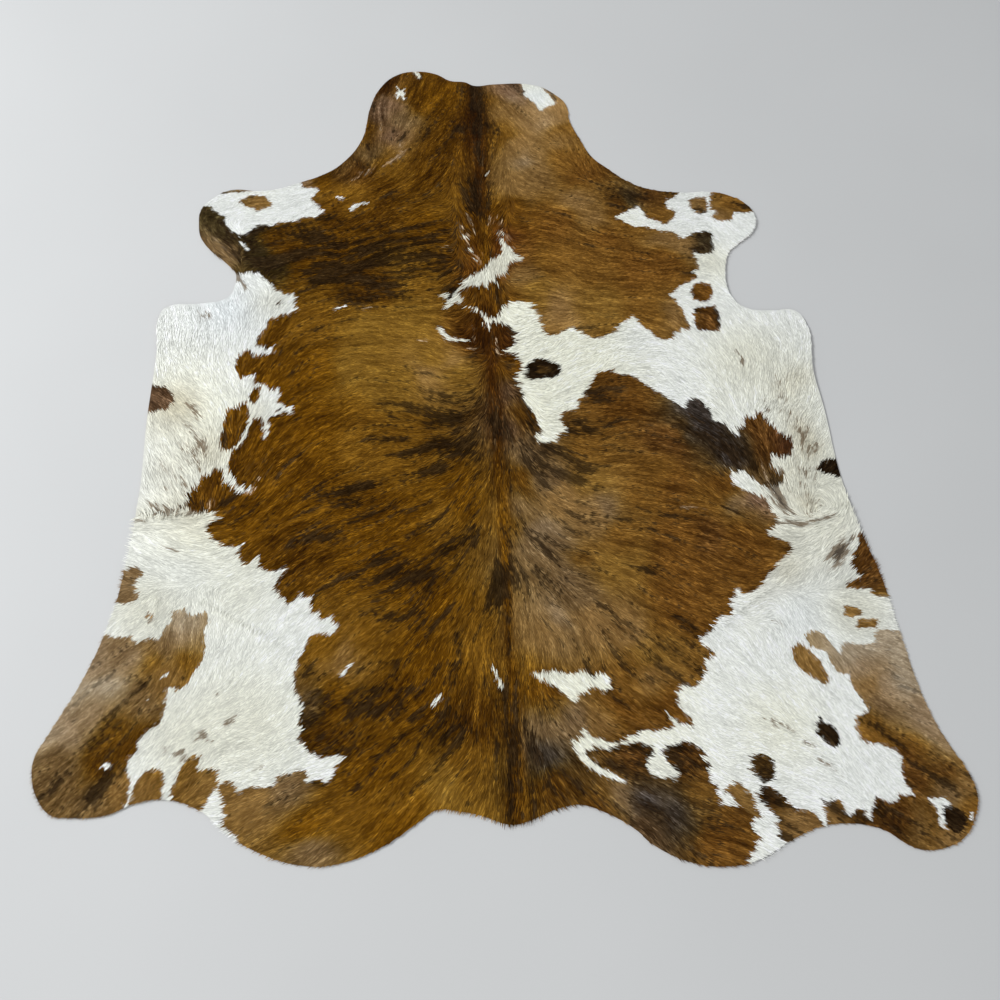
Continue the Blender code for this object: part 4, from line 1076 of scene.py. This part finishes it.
# %% [markdown]
# The roots come next. They stand in a staggered grid, each moved a little by chance, because hair
# is dense and even: places picked wholly at random would leave bald gaps. A root is dropped where
# most of its lock would hang over the rim.

# %% Where every lock is rooted
# Each row is the longest hair of its kind in millimetres, and the distance between two roots in
# centimetres. Short hair takes more locks to cover the same skin.
ROOT_STEPS = ((13, 0.345), (16, 0.395), (20, 0.435), (25, 0.48), (99, 0.53))
ROOT_STRAY = 0.95  # chance moves a root by up to half of this share of the distance each way
# A lock's length as a share of what the list says: at least the first, and up to the second more
LEAST_LENGTH = 0.75
MORE_LENGTH = 0.5
ON_THE_HIDE = 0.45  # this share of every lock has to lie inside the rim
chances = np.random.default_rng(7)


def staggered(low, high, step):
    """Points between two corners, in rows, every second row moved by half a step."""
    rows = np.arange(low[1], high[1], step * math.sqrt(0.75))
    x, y = np.meshgrid(np.arange(low[0], high[0], step), rows)
    x = x + step / 2 * (np.arange(len(rows)) % 2)[:, None]
    return x.ravel(), y.ravel()


def scattered(step):
    """Points of a staggered grid over the hide, each moved by chance."""
    x, y = staggered(rim.min(0) - 1, rim.max(0) + 1, step)
    x = x + ROOT_STRAY * step * (chances.random(x.size) - 0.5)
    y = y + ROOT_STRAY * step * (chances.random(y.size) - 0.5)
    within = inside(x, y, rim)
    return x[within], y[within]


def rooted():
    """For every lock: its place, its direction and its length in centimetres."""
    kinds = []
    shortest = 0.0
    for longest, step in ROOT_STEPS:
        x, y = scattered(step)
        length = length_at(x, y)
        kept = (length >= shortest) & (length < MM_IN_CM * longest)
        x, y, length = x[kept], y[kept], length[kept]
        kinds.append(np.stack([x, y, *combing(x, y), length]))
        print("hair up to", longest, "mm:", x.size, "locks")
        shortest = MM_IN_CM * longest
    return np.concatenate(kinds, axis=1)


root_x, root_y, flow_x, flow_y, lock_length = rooted()
chance = chances.random(root_x.size)
lock_length = lock_length * (LEAST_LENGTH + MORE_LENGTH * chances.random(root_x.size))
reach = ON_THE_HIDE * lock_length
kept = inside(root_x + reach * flow_x, root_y + reach * flow_y, rim)
root_x, root_y, flow_x, flow_y = (part[kept] for part in (root_x, root_y, flow_x, flow_y))
lock_length, chance = lock_length[kept], chance[kept]
print("locks:", root_x.size)

# %% Colour of every lock
SEEN_AT = 0.55  # the eye meets a lock's colour this far along it, so the patch is read there
seen = SEEN_AT * lock_length
lock_colour, lock_white = coat_at(
    root_x + seen * flow_x, root_y + seen * flow_y, flow_x, flow_y, lock_length, chance
)
print("white share of the locks:", round(float(lock_white.mean()), 3))

# %% [markdown]
# The skin is a closed sheet of leather 2 mm thick. Its top is a net of small triangles between the
# rim and a staggered grid of points, fine enough to follow the folds. Its underside is the same net
# turned over, and a narrow wall joins the two at the rim. A thick slab with a flat base would be
# easier, but then the curled rim would stand on a wall instead of over a shadow.

# %% Net of the skin
SKIN_STEP = 1.3  # the distance between its points, in centimetres
NET_GAP = 0.7  # the least distance between the rim and the other points, in centimetres
INSIDE_ONLY = 1  # asks the triangulation for what lies inside the rim
SAME_SPOT = 1e-5  # points nearer than this count as one


def skin_net():
    """Points (x, y) in centimetres, the rim's first, and the triangles between them."""
    ahead, behind = np.roll(rim, -1, axis=0), np.roll(rim, 1, axis=0)
    way = ahead - behind
    inward = np.stack([-way[:, 1], way[:, 0]], 1) / np.hypot(*way.T)[:, None]
    x, y = staggered(rim.min(0), rim.max(0), SKIN_STEP)
    kept = inside(x, y, rim + NET_GAP * inward)
    points = [Vector(spot) for spot in rim] + [Vector(spot) for spot in zip(x[kept], y[kept])]
    edges = [(index, (index + 1) % len(rim)) for index in range(len(rim))]
    made = delaunay_2d_cdt(points, edges, [], INSIDE_ONLY, SAME_SPOT)
    return np.array([tuple(spot) for spot in made[0]]), np.array(made[2])


net_points, net_faces = skin_net()
print("skin net:", len(net_points), "points and", len(net_faces), "triangles")


# %% Closed skin
def closed_sheet(points, faces):
    """Vertices in metres and triangles of the sheet: top, underside, then the wall at the rim."""
    x, y = points.T
    stand = relief(x, y)
    top = np.stack([x, y, stand + LEATHER], 1) * CM
    under = np.stack([x, y, stand], 1) * CM
    count = len(points)
    a, b, c = faces.T
    area = np.cross(points[b] - points[a], points[c] - points[a])
    faces = np.where(area[:, None] > 0, faces, faces[:, ::-1])
    # An edge between two triangles is met once each way. One that is met once only is the rim's.
    once = {}
    for face in faces:
        for first, last in zip(face, np.roll(face, -1)):
            if (last, first) in once:
                del once[(last, first)]
            else:
                once[(first, last)] = True
    border = np.array(list(once))
    first, last = border.T
    wall = np.concatenate([
        np.stack([first, first + count, last + count], 1),
        np.stack([first, last + count, last], 1),
    ])
    return np.concatenate([top, under]), [faces, faces[:, ::-1] + count, wall]


def mesh_of(name, vertices, triangles):
    """A mesh made from arrays."""
    mesh = bpy.data.meshes.new(name)
    mesh.from_pydata(vertices.tolist(), [], triangles.tolist())
    mesh.update()
    return mesh


skin_vertices, skin_parts = closed_sheet(net_points, net_faces)
skin_mesh = mesh_of("hide_skin", skin_vertices, np.concatenate(skin_parts))
skin = bpy.data.objects.new("hide_skin", skin_mesh)
bpy.context.scene.collection.objects.link(skin)
print("skin:", len(skin_mesh.polygons), "triangles")

# %% [markdown]
# Materials are sums on sockets. A small class wraps one output of a node, so that a sum such as
# `0.6 + 0.8 * hairs` adds the Math nodes that it needs, and `Finish.add` adds any other node.

# %% Shader sums
class Wire:
    """One output of a node. A number plus a wire, or a product with one, adds a Math node."""

    def __init__(self, finish, socket):
        self.finish = finish
        self.socket = socket

    def maths(self, operation, first, second):
        node = self.finish.add("ShaderNodeMath", {"operation": operation}, {0: first, 1: second})
        return node("Value")

    def __radd__(self, other):
        return self.maths("ADD", other, self)

    def __mul__(self, other):
        return self.maths("MULTIPLY", self, other)

    def __rmul__(self, other):
        return self.maths("MULTIPLY", other, self)


class Finish:
    """A material built from nodes."""

    def __init__(self, name):
        self.material = bpy.data.materials.new(name)
        self.material.use_nodes = True
        self.tree = self.material.node_tree
        self.tree.nodes.clear()

    def add(self, kind, settings, sockets):
        """Adds a node: its settings first, then values or wires for its sockets by name or place."""
        node = self.tree.nodes.new(kind)
        for name, value in settings.items():
            setattr(node, name, value)
        for name, value in sockets.items():
            inputs = {socket.identifier: socket for socket in node.inputs}
            socket = node.inputs[name] if isinstance(name, int) else inputs.get(name)
            socket = socket or node.inputs[name]
            if isinstance(value, Wire):
                self.tree.links.new(value.socket, socket)
            else:
                socket.default_value = value
        outputs = {socket.identifier: socket for socket in node.outputs}
        return lambda name: Wire(self, outputs.get(name) or node.outputs[name])

    def noise(self, place, scale, detail):
        """A cloudy pattern from 0 to 1."""
        node = self.add("ShaderNodeTexNoise", {"noise_dimensions": "3D"},
                        {"Vector": place, "Scale": scale, "Detail": detail})
        return node("Fac")

    def bump(self, height, strength, distance):
        """The surface's direction when the pattern lifts it by up to a distance in metres."""
        node = self.add("ShaderNodeBump", {},
                        {"Strength": strength, "Distance": distance, "Height": height})
        return node("Normal")

    def shade(self, colour, share, other):
        """Colour mixed with another by a share from 0 to 1."""
        node = self.add("ShaderNodeMix", {"data_type": "RGBA"},
                        {"Factor_Float": share, "A_Color": colour, "B_Color": other})
        return node("Result_Color")

    def dim(self, colour, amount):
        """Colour multiplied by a number."""
        node = self.add("ShaderNodeVectorMath", {"operation": "SCALE"}, {0: colour, "Scale": amount})
        return node("Vector")

    def end(self, settings):
        """The shader and the material's output."""
        shader = self.add("ShaderNodeBsdfPrincipled", {}, settings)
        self.add("ShaderNodeOutputMaterial", {}, {"Surface": shader("BSDF")})
        return self.material


# %% [markdown]
# Hair on a hide is short and straight, and it has a soft shine along each strand. Each lock stands
# for a few dozen hairs, so its finish draws them: a fine noise that is long along the lock and
# narrow across it changes the colour and lifts the surface. The lock is a little darker at its
# root, where less light comes in.

# %% Finish of the hair
HAIR_ROUGHNESS = 0.55
ALONG, ACROSS = 1.3, 3.2  # how many bumps the noise has over the length and the width of a lock
UNLIKE_LOCKS = 90  # how far apart two locks read the noise


def hair_finish():
    finish = Finish("hair")
    coat = finish.add("ShaderNodeAttribute", {"attribute_name": "coat"}, {})
    strand = finish.add("ShaderNodeAttribute", {"attribute_name": "strand"}, {})
    parts = finish.add("ShaderNodeSeparateXYZ", {}, {"Vector": strand("Vector")})
    along, across = parts("X"), parts("Y")
    place = finish.add("ShaderNodeCombineXYZ", {},
                       {"X": along * ALONG, "Y": across * ACROSS, "Z": coat("Alpha") * UNLIKE_LOCKS})
    hairs = finish.noise(place("Vector"), scale=1.0, detail=2.0)
    colour = finish.dim(coat("Color"), (0.62 + 0.76 * hairs) * (0.88 + 0.18 * along))
    return finish.end({
        "Base Color": colour, "Roughness": HAIR_ROUGHNESS - 0.12 + 0.24 * hairs,
        "Normal": finish.bump(hairs, strength=0.6, distance=0.4 * MM), "Specular IOR Level": 0.015,
    })


hair = hair_finish()

# %% [markdown]
# Between the locks the skin carries the shortest hairs, in the same colours but in shadow. Its
# underside is the flesh side: pale suede, brushed in soft blotches, with a fine nap. The same suede
# shows at the cut rim.

# %% Finishes of the skin
def short_hair_finish():
    finish = Finish("short_hair")
    coat = finish.add("ShaderNodeAttribute", {"attribute_name": "coat"}, {})
    place = finish.add("ShaderNodeTexCoord", {}, {})
    hairs = finish.noise(place("Object"), scale=700.0, detail=3.0)
    return finish.end({
        "Base Color": finish.dim(coat("Color"), 0.55 + 0.5 * hairs), "Roughness": 0.8,
        "Normal": finish.bump(hairs, strength=0.7, distance=0.5 * MM), "Specular IOR Level": 0.08,
    })


def suede_finish():
    finish = Finish("suede")
    place = finish.add("ShaderNodeTexCoord", {}, {})
    blotch = finish.noise(place("Object"), scale=9.0, detail=4.0)
    nap = finish.noise(place("Object"), scale=900.0, detail=2.0)
    pale = finish.shade((0.47, 0.38, 0.29, 1), blotch, (0.62, 0.55, 0.46, 1))
    return finish.end({
        "Base Color": finish.dim(pale, 0.85 + 0.3 * nap), "Roughness": 0.9,
        "Normal": finish.bump(nap, strength=0.5, distance=0.3 * MM),
        "Sheen Weight": 0.2, "Sheen Roughness": 0.5,
    })


skin_mesh.materials.append(short_hair_finish())
skin_mesh.materials.append(suede_finish())
top_count = len(skin_parts[0])
which = np.ones(len(skin_mesh.polygons), dtype=np.int32)
which[:top_count] = 0
skin_mesh.polygons.foreach_set("material_index", which)


# %% Colour of the skin under the hair
def colour_layer(mesh, colour, alpha):
    """Stores a colour at every point. The alpha carries the lock's chance to its finish."""
    layer = mesh.attributes.new("coat", "FLOAT_COLOR", "POINT")
    layer.data.foreach_set("color", np.column_stack([colour, alpha]).astype(np.float32).ravel())


net_x, net_y = net_points.T
net_east, net_north = combing(net_x, net_y)
even_chance = np.full(net_x.shape, 0.5)
net_length = length_at(net_x, net_y)
net_colour, _ = coat_at(net_x, net_y, net_east, net_north, net_length, even_chance)
colour_layer(skin_mesh, np.tile(net_colour, (2, 1)), np.ones(2 * len(net_points)))

# %% [markdown]
# A map of the skin: the top is laid out as it is seen from above. The underside and the wall
# would lie on the same spot, so they go into the empty corner beside the neck, much smaller,
# because suede is nearly even.

# %% Map of the skin
UNDER_SCALE = 0.12  # the underside's size in the map, as a share of the top's
UNDER_LEFT, UNDER_TOP = 0.015, 0.98  # where it goes: its left and upper edges in the map
WALL_WIDTH = 5.0  # the wall is vertical, so it is laid out flat with this width in centimetres


def flat_map(mesh, spots):
    """Lays every corner of every face at its spot, given as two numbers from 0 to 1."""
    layer = mesh.uv_layers.new(name="OFBake")
    layer.uv.foreach_set("vector", spots.astype(np.float32).ravel())


def corners_of(mesh):
    """The vertex at every corner of every face."""
    index = np.empty(len(mesh.loops), dtype=np.int32)
    mesh.loops.foreach_get("vertex_index", index)
    return index


def skin_map():
    """The spot in the map of every corner of the skin's triangles."""
    low, side = rim.min(0), float(np.ptp(rim, axis=0).max())
    place = (np.concatenate([net_points, net_points]) - low) / side
    index = corners_of(skin_mesh)
    spots = place[index]
    above = top_count * 3
    spots[above:] = UNDER_LEFT + UNDER_SCALE * (1 - spots[above:])
    spots[above:, 1] += UNDER_TOP - UNDER_SCALE - UNDER_LEFT
    walls = slice(2 * above, None)
    raised = index[walls] < len(net_points)
    middle = spots[walls].mean(0)
    outward = spots[walls] - middle
    outward /= np.hypot(*outward.T)[:, None]
    spots[walls] += np.where(raised[:, None], outward * UNDER_SCALE * WALL_WIDTH / side, 0)
    return spots


flat_map(skin_mesh, skin_map())

# %% [markdown]
# One lock is a bent sliver with four faces: a root, two sides and a tip. That is as little as a
# closed shape can have, which matters when there are two hundred thousand of them. It is bent so
# that its tip is its highest point and lies over the roots of the next locks, as tiles do on a
# roof. Geometry Nodes set a lock on every root, turned along the hair and leaning with the skin.

# %% One lock of hair
# Each row is a corner: along and up as shares of the lock's length, across as a share of its width
LOCK_SHAPE = (
    # along, across, up
    (0.0, 0.0, -0.02),
    (0.42, 0.5, 0.055),
    (0.42, -0.5, 0.055),
    (1.0, 0.0, 0.08),
)
LOCK_FACES = ((0, 2, 1), (1, 2, 3), (0, 1, 3), (0, 3, 2))


def one_lock():
    mesh = bpy.data.meshes.new("one_lock")
    mesh.from_pydata(LOCK_SHAPE, [], LOCK_FACES)
    layer = mesh.attributes.new("strand", "FLOAT_VECTOR", "POINT")
    for spot, (along, across, _) in zip(layer.data, LOCK_SHAPE):
        spot.vector = (along, across, 0)
    return bpy.data.objects.new("one_lock", mesh)


lock = one_lock()


# %% Node tree that lays the hair
def hair_tree():
    """A lock on every root: turned along `flow`, standing on `up`, then turned a little by chance."""
    tree = bpy.data.node_groups.new("lay the hair", "GeometryNodeTree")
    face = tree.interface
    face.new_socket("Roots", in_out="INPUT", socket_type="NodeSocketGeometry")
    face.new_socket("Lock", in_out="INPUT", socket_type="NodeSocketObject")
    face.new_socket("Stray Angle", in_out="INPUT", socket_type="NodeSocketFloat")
    face.new_socket("Lift Angle", in_out="INPUT", socket_type="NodeSocketFloat")
    face.new_socket("Seed", in_out="INPUT", socket_type="NodeSocketInt")
    face.new_socket("Finish", in_out="INPUT", socket_type="NodeSocketMaterial")
    face.new_socket("Hair", in_out="OUTPUT", socket_type="NodeSocketGeometry")
    nodes, join = tree.nodes, tree.links.new
    given = nodes.new("NodeGroupInput").outputs

    def read(name, kind):
        node = nodes.new("GeometryNodeInputNamedAttribute")
        node.data_type = kind
        node.inputs["Name"].default_value = name
        return node.outputs["Attribute"]

    axes = nodes.new("FunctionNodeAxesToRotation")
    axes.primary_axis = "Z"
    axes.secondary_axis = "X"
    join(read("up", "FLOAT_VECTOR"), axes.inputs["Primary Axis"])
    join(read("flow", "FLOAT_VECTOR"), axes.inputs["Secondary Axis"])

    stray = nodes.new("FunctionNodeRandomValue")
    stray.data_type = "FLOAT_VECTOR"
    largest = nodes.new("ShaderNodeCombineXYZ")
    least = nodes.new("ShaderNodeVectorMath")
    least.operation = "SCALE"
    least.inputs["Scale"].default_value = -1.0
    join(given["Stray Angle"], largest.inputs["X"])
    join(given["Lift Angle"], largest.inputs["Y"])
    join(given["Stray Angle"], largest.inputs["Z"])
    join(largest.outputs["Vector"], least.inputs[0])
    join(least.outputs["Vector"], stray.inputs["Min"])
    join(largest.outputs["Vector"], stray.inputs["Max"])
    join(given["Seed"], stray.inputs["Seed"])

    turned = nodes.new("FunctionNodeRotateRotation")
    turned.rotation_space = "LOCAL"
    join(axes.outputs["Rotation"], turned.inputs["Rotation"])
    join(stray.outputs["Value"], turned.inputs["Rotate By"])

    shape = nodes.new("GeometryNodeObjectInfo")
    join(given["Lock"], shape.inputs["Object"])
    laid = nodes.new("GeometryNodeInstanceOnPoints")
    join(given["Roots"], laid.inputs["Points"])
    join(shape.outputs["Geometry"], laid.inputs["Instance"])
    join(turned.outputs["Rotation"], laid.inputs["Rotation"])
    join(read("size", "FLOAT_VECTOR"), laid.inputs["Scale"])
    real = nodes.new("GeometryNodeRealizeInstances")
    join(laid.outputs["Instances"], real.inputs["Geometry"])
    painted = nodes.new("GeometryNodeSetMaterial")
    join(real.outputs["Geometry"], painted.inputs["Geometry"])
    join(given["Finish"], painted.inputs["Material"])
    result = nodes.new("NodeGroupOutput")
    join(painted.outputs["Geometry"], result.inputs["Hair"])
    return tree


tree = hair_tree()
inputs = {item.name: item.identifier for item in tree.interface.items_tree if item.in_out == "INPUT"}
print("the tree asks for", ", ".join(inputs))

# %% [markdown]
# The hair is made in six pieces, a shoulder, a flank and a haunch on either side, so that no piece
# grows too heavy. Each starts as a bed: loose points at the roots that carry the hair's
# direction, the skin's slope, the lock's size and its colour. The node tree turns the bed into
# locks, and the result is kept as a plain mesh.

# %% Hair of each part of the body
# The lines between the pieces, in centimetres
SPINE_X = 1.5
SHOULDER_Y = 30.0
HAUNCH_Y = -45.0
NARROWEST = 0.15  # the width in centimetres of a lock with no length
WIDENING = 0.04  # how much wider a lock is for each centimetre of its length
TALLEST = 2.0  # a longer lock lies flatter, as if it were this many centimetres long
# How far chance turns a lock to either side and lifts or lowers it, in radians
STRAY = 0.16
LIFT = 0.035
FIRST_SEED = 31  # every piece has a seed of its own, from this one on

left = root_x < SPINE_X
shoulder = root_y > SHOULDER_Y
haunch = root_y < HAUNCH_Y
BODY_PARTS = {
    "hair_left_shoulder": left & shoulder,
    "hair_right_shoulder": ~left & shoulder,
    "hair_left_flank": left & ~shoulder & ~haunch,
    "hair_right_flank": ~left & ~shoulder & ~haunch,
    "hair_left_haunch": left & haunch,
    "hair_right_haunch": ~left & haunch,
}


def bed(name, here):
    """Loose points at the roots, with what each lock needs to know."""
    x, y = root_x[here], root_y[here]
    mesh = bpy.data.meshes.new(name)
    mesh.vertices.add(x.size)
    places = np.stack([x, y, relief(x, y) + LEATHER], 1) * CM
    mesh.vertices.foreach_set("co", places.astype(np.float32).ravel())
    length = lock_length[here] * CM
    width = NARROWEST * CM + WIDENING * length
    layers = {
        "flow": np.stack([flow_x[here], flow_y[here], 0 * x], 1),
        "up": slope(x, y),
        "size": np.stack([length, width, np.minimum(length, TALLEST * CM)], 1),
    }
    for title, values in layers.items():
        layer = mesh.attributes.new(title, "FLOAT_VECTOR", "POINT")
        layer.data.foreach_set("vector", values.astype(np.float32).ravel())
    colour_layer(mesh, lock_colour[here], chance[here])
    return bpy.data.objects.new(name, mesh)


def grow(name, here, seed):
    """The hair of one part of the body, as a plain mesh."""
    roots = bed(name + "_roots", here)
    bpy.context.scene.collection.objects.link(roots)
    laying = roots.modifiers.new("lay the hair", "NODES")
    laying.node_group = tree
    laying[inputs["Lock"]] = lock
    laying[inputs["Stray Angle"]] = STRAY
    laying[inputs["Lift Angle"]] = LIFT
    laying[inputs["Seed"]] = seed
    laying[inputs["Finish"]] = hair
    graph = bpy.context.evaluated_depsgraph_get()
    mesh = bpy.data.meshes.new_from_object(roots.evaluated_get(graph))
    roots.modifiers.clear()
    bpy.data.objects.remove(roots)
    mesh.name = name
    for title in ("flow", "up", "size"):
        if title in mesh.attributes:
            mesh.attributes.remove(mesh.attributes[title])
    piece = bpy.data.objects.new(name, mesh)
    bpy.context.scene.collection.objects.link(piece)
    return piece


def map_from_above(piece):
    """A map of a hair piece: each face where it is seen from above."""
    mesh = piece.data
    places = np.empty(len(mesh.vertices) * 3, dtype=np.float32)
    mesh.vertices.foreach_get("co", places)
    places = places.reshape(-1, 3)[:, :2]
    low, side = places.min(0), float(np.ptp(places, axis=0).max())
    flat_map(mesh, ((places - low) / side)[corners_of(mesh)])


hair_pieces = []
for number, (name, here) in enumerate(BODY_PARTS.items()):
    piece = grow(name, here, FIRST_SEED + number)
    map_from_above(piece)
    hair_pieces.append(piece)
    print(name, "-", len(piece.data.polygons), "triangles")
bpy.data.objects.remove(lock)

# %% [markdown]
# Last, each piece is attached to the root body. The skin takes the place of the solid hide, which
# stays behind, hidden.

for piece in [skin, *hair_pieces]:
    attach(piece, "root")
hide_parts("cowhide")

# %% [markdown]
# The hide lies on a plain pale floor in soft daylight. One large lamp stands for a window beyond
# the left shoulder and a weak one for a second window behind the camera. The even light of the sky
# fills the rest, so that shadows are soft and short.

# %% Floor and light
FLOOR_SIDE = 14.0
SKY_COLOUR = (0.95, 0.98, 1.0, 1)
SKY_STRENGTH = 0.54


def floor_finish():
    finish = Finish("pale_floor")
    place = finish.add("ShaderNodeTexCoord", {}, {})
    cloud = finish.noise(place("Object"), scale=1.5, detail=2.0)
    colour = finish.shade((0.53, 0.53, 0.53, 1), cloud, (0.57, 0.57, 0.57, 1))
    return finish.end({"Base Color": colour, "Roughness": 0.6, "Specular IOR Level": 0.2})


def floor_sheet():
    half = FLOOR_SIDE / 2
    corners = [(-half, -half, 0), (half, -half, 0), (half, half, 0), (-half, half, 0)]
    mesh = bpy.data.meshes.new("floor")
    mesh.from_pydata(corners, [], [(0, 1, 2, 3)])
    mesh.materials.append(floor_finish())
    floor = bpy.data.objects.new("floor", mesh)
    bpy.context.scene.collection.objects.link(floor)
    return floor


def window_light(name, place, aim, side, power, colour):
    data = bpy.data.lights.new(name, "AREA")
    data.shape = "SQUARE"
    data.size = side
    data.energy = power
    data.color = colour
    lamp = bpy.data.objects.new(name, data)
    lamp.location = place
    lamp.rotation_euler = (Vector(aim) - Vector(place)).to_track_quat("-Z", "Y").to_euler()
    bpy.context.scene.collection.objects.link(lamp)


floor_sheet()
window_light(
    "window", place=(-5.0, 1.4, 5.0), aim=(0, 0, 0), side=2.0, power=400, colour=(0.97, 0.99, 1.0)
)
window_light(
    "second_window", place=(-0.6, -3.3, 2.6), aim=(0, -0.4, 0), side=2.0, power=20,
    colour=(1.0, 0.99, 0.97)
)
sky = bpy.data.worlds.new("sky")
sky.use_nodes = True
sky_light = sky.node_tree.nodes["Background"]
sky_light.inputs["Color"].default_value = SKY_COLOUR
sky_light.inputs["Strength"].default_value = SKY_STRENGTH
bpy.context.scene.world = sky
bpy.context.scene.view_settings.view_transform = "Standard"
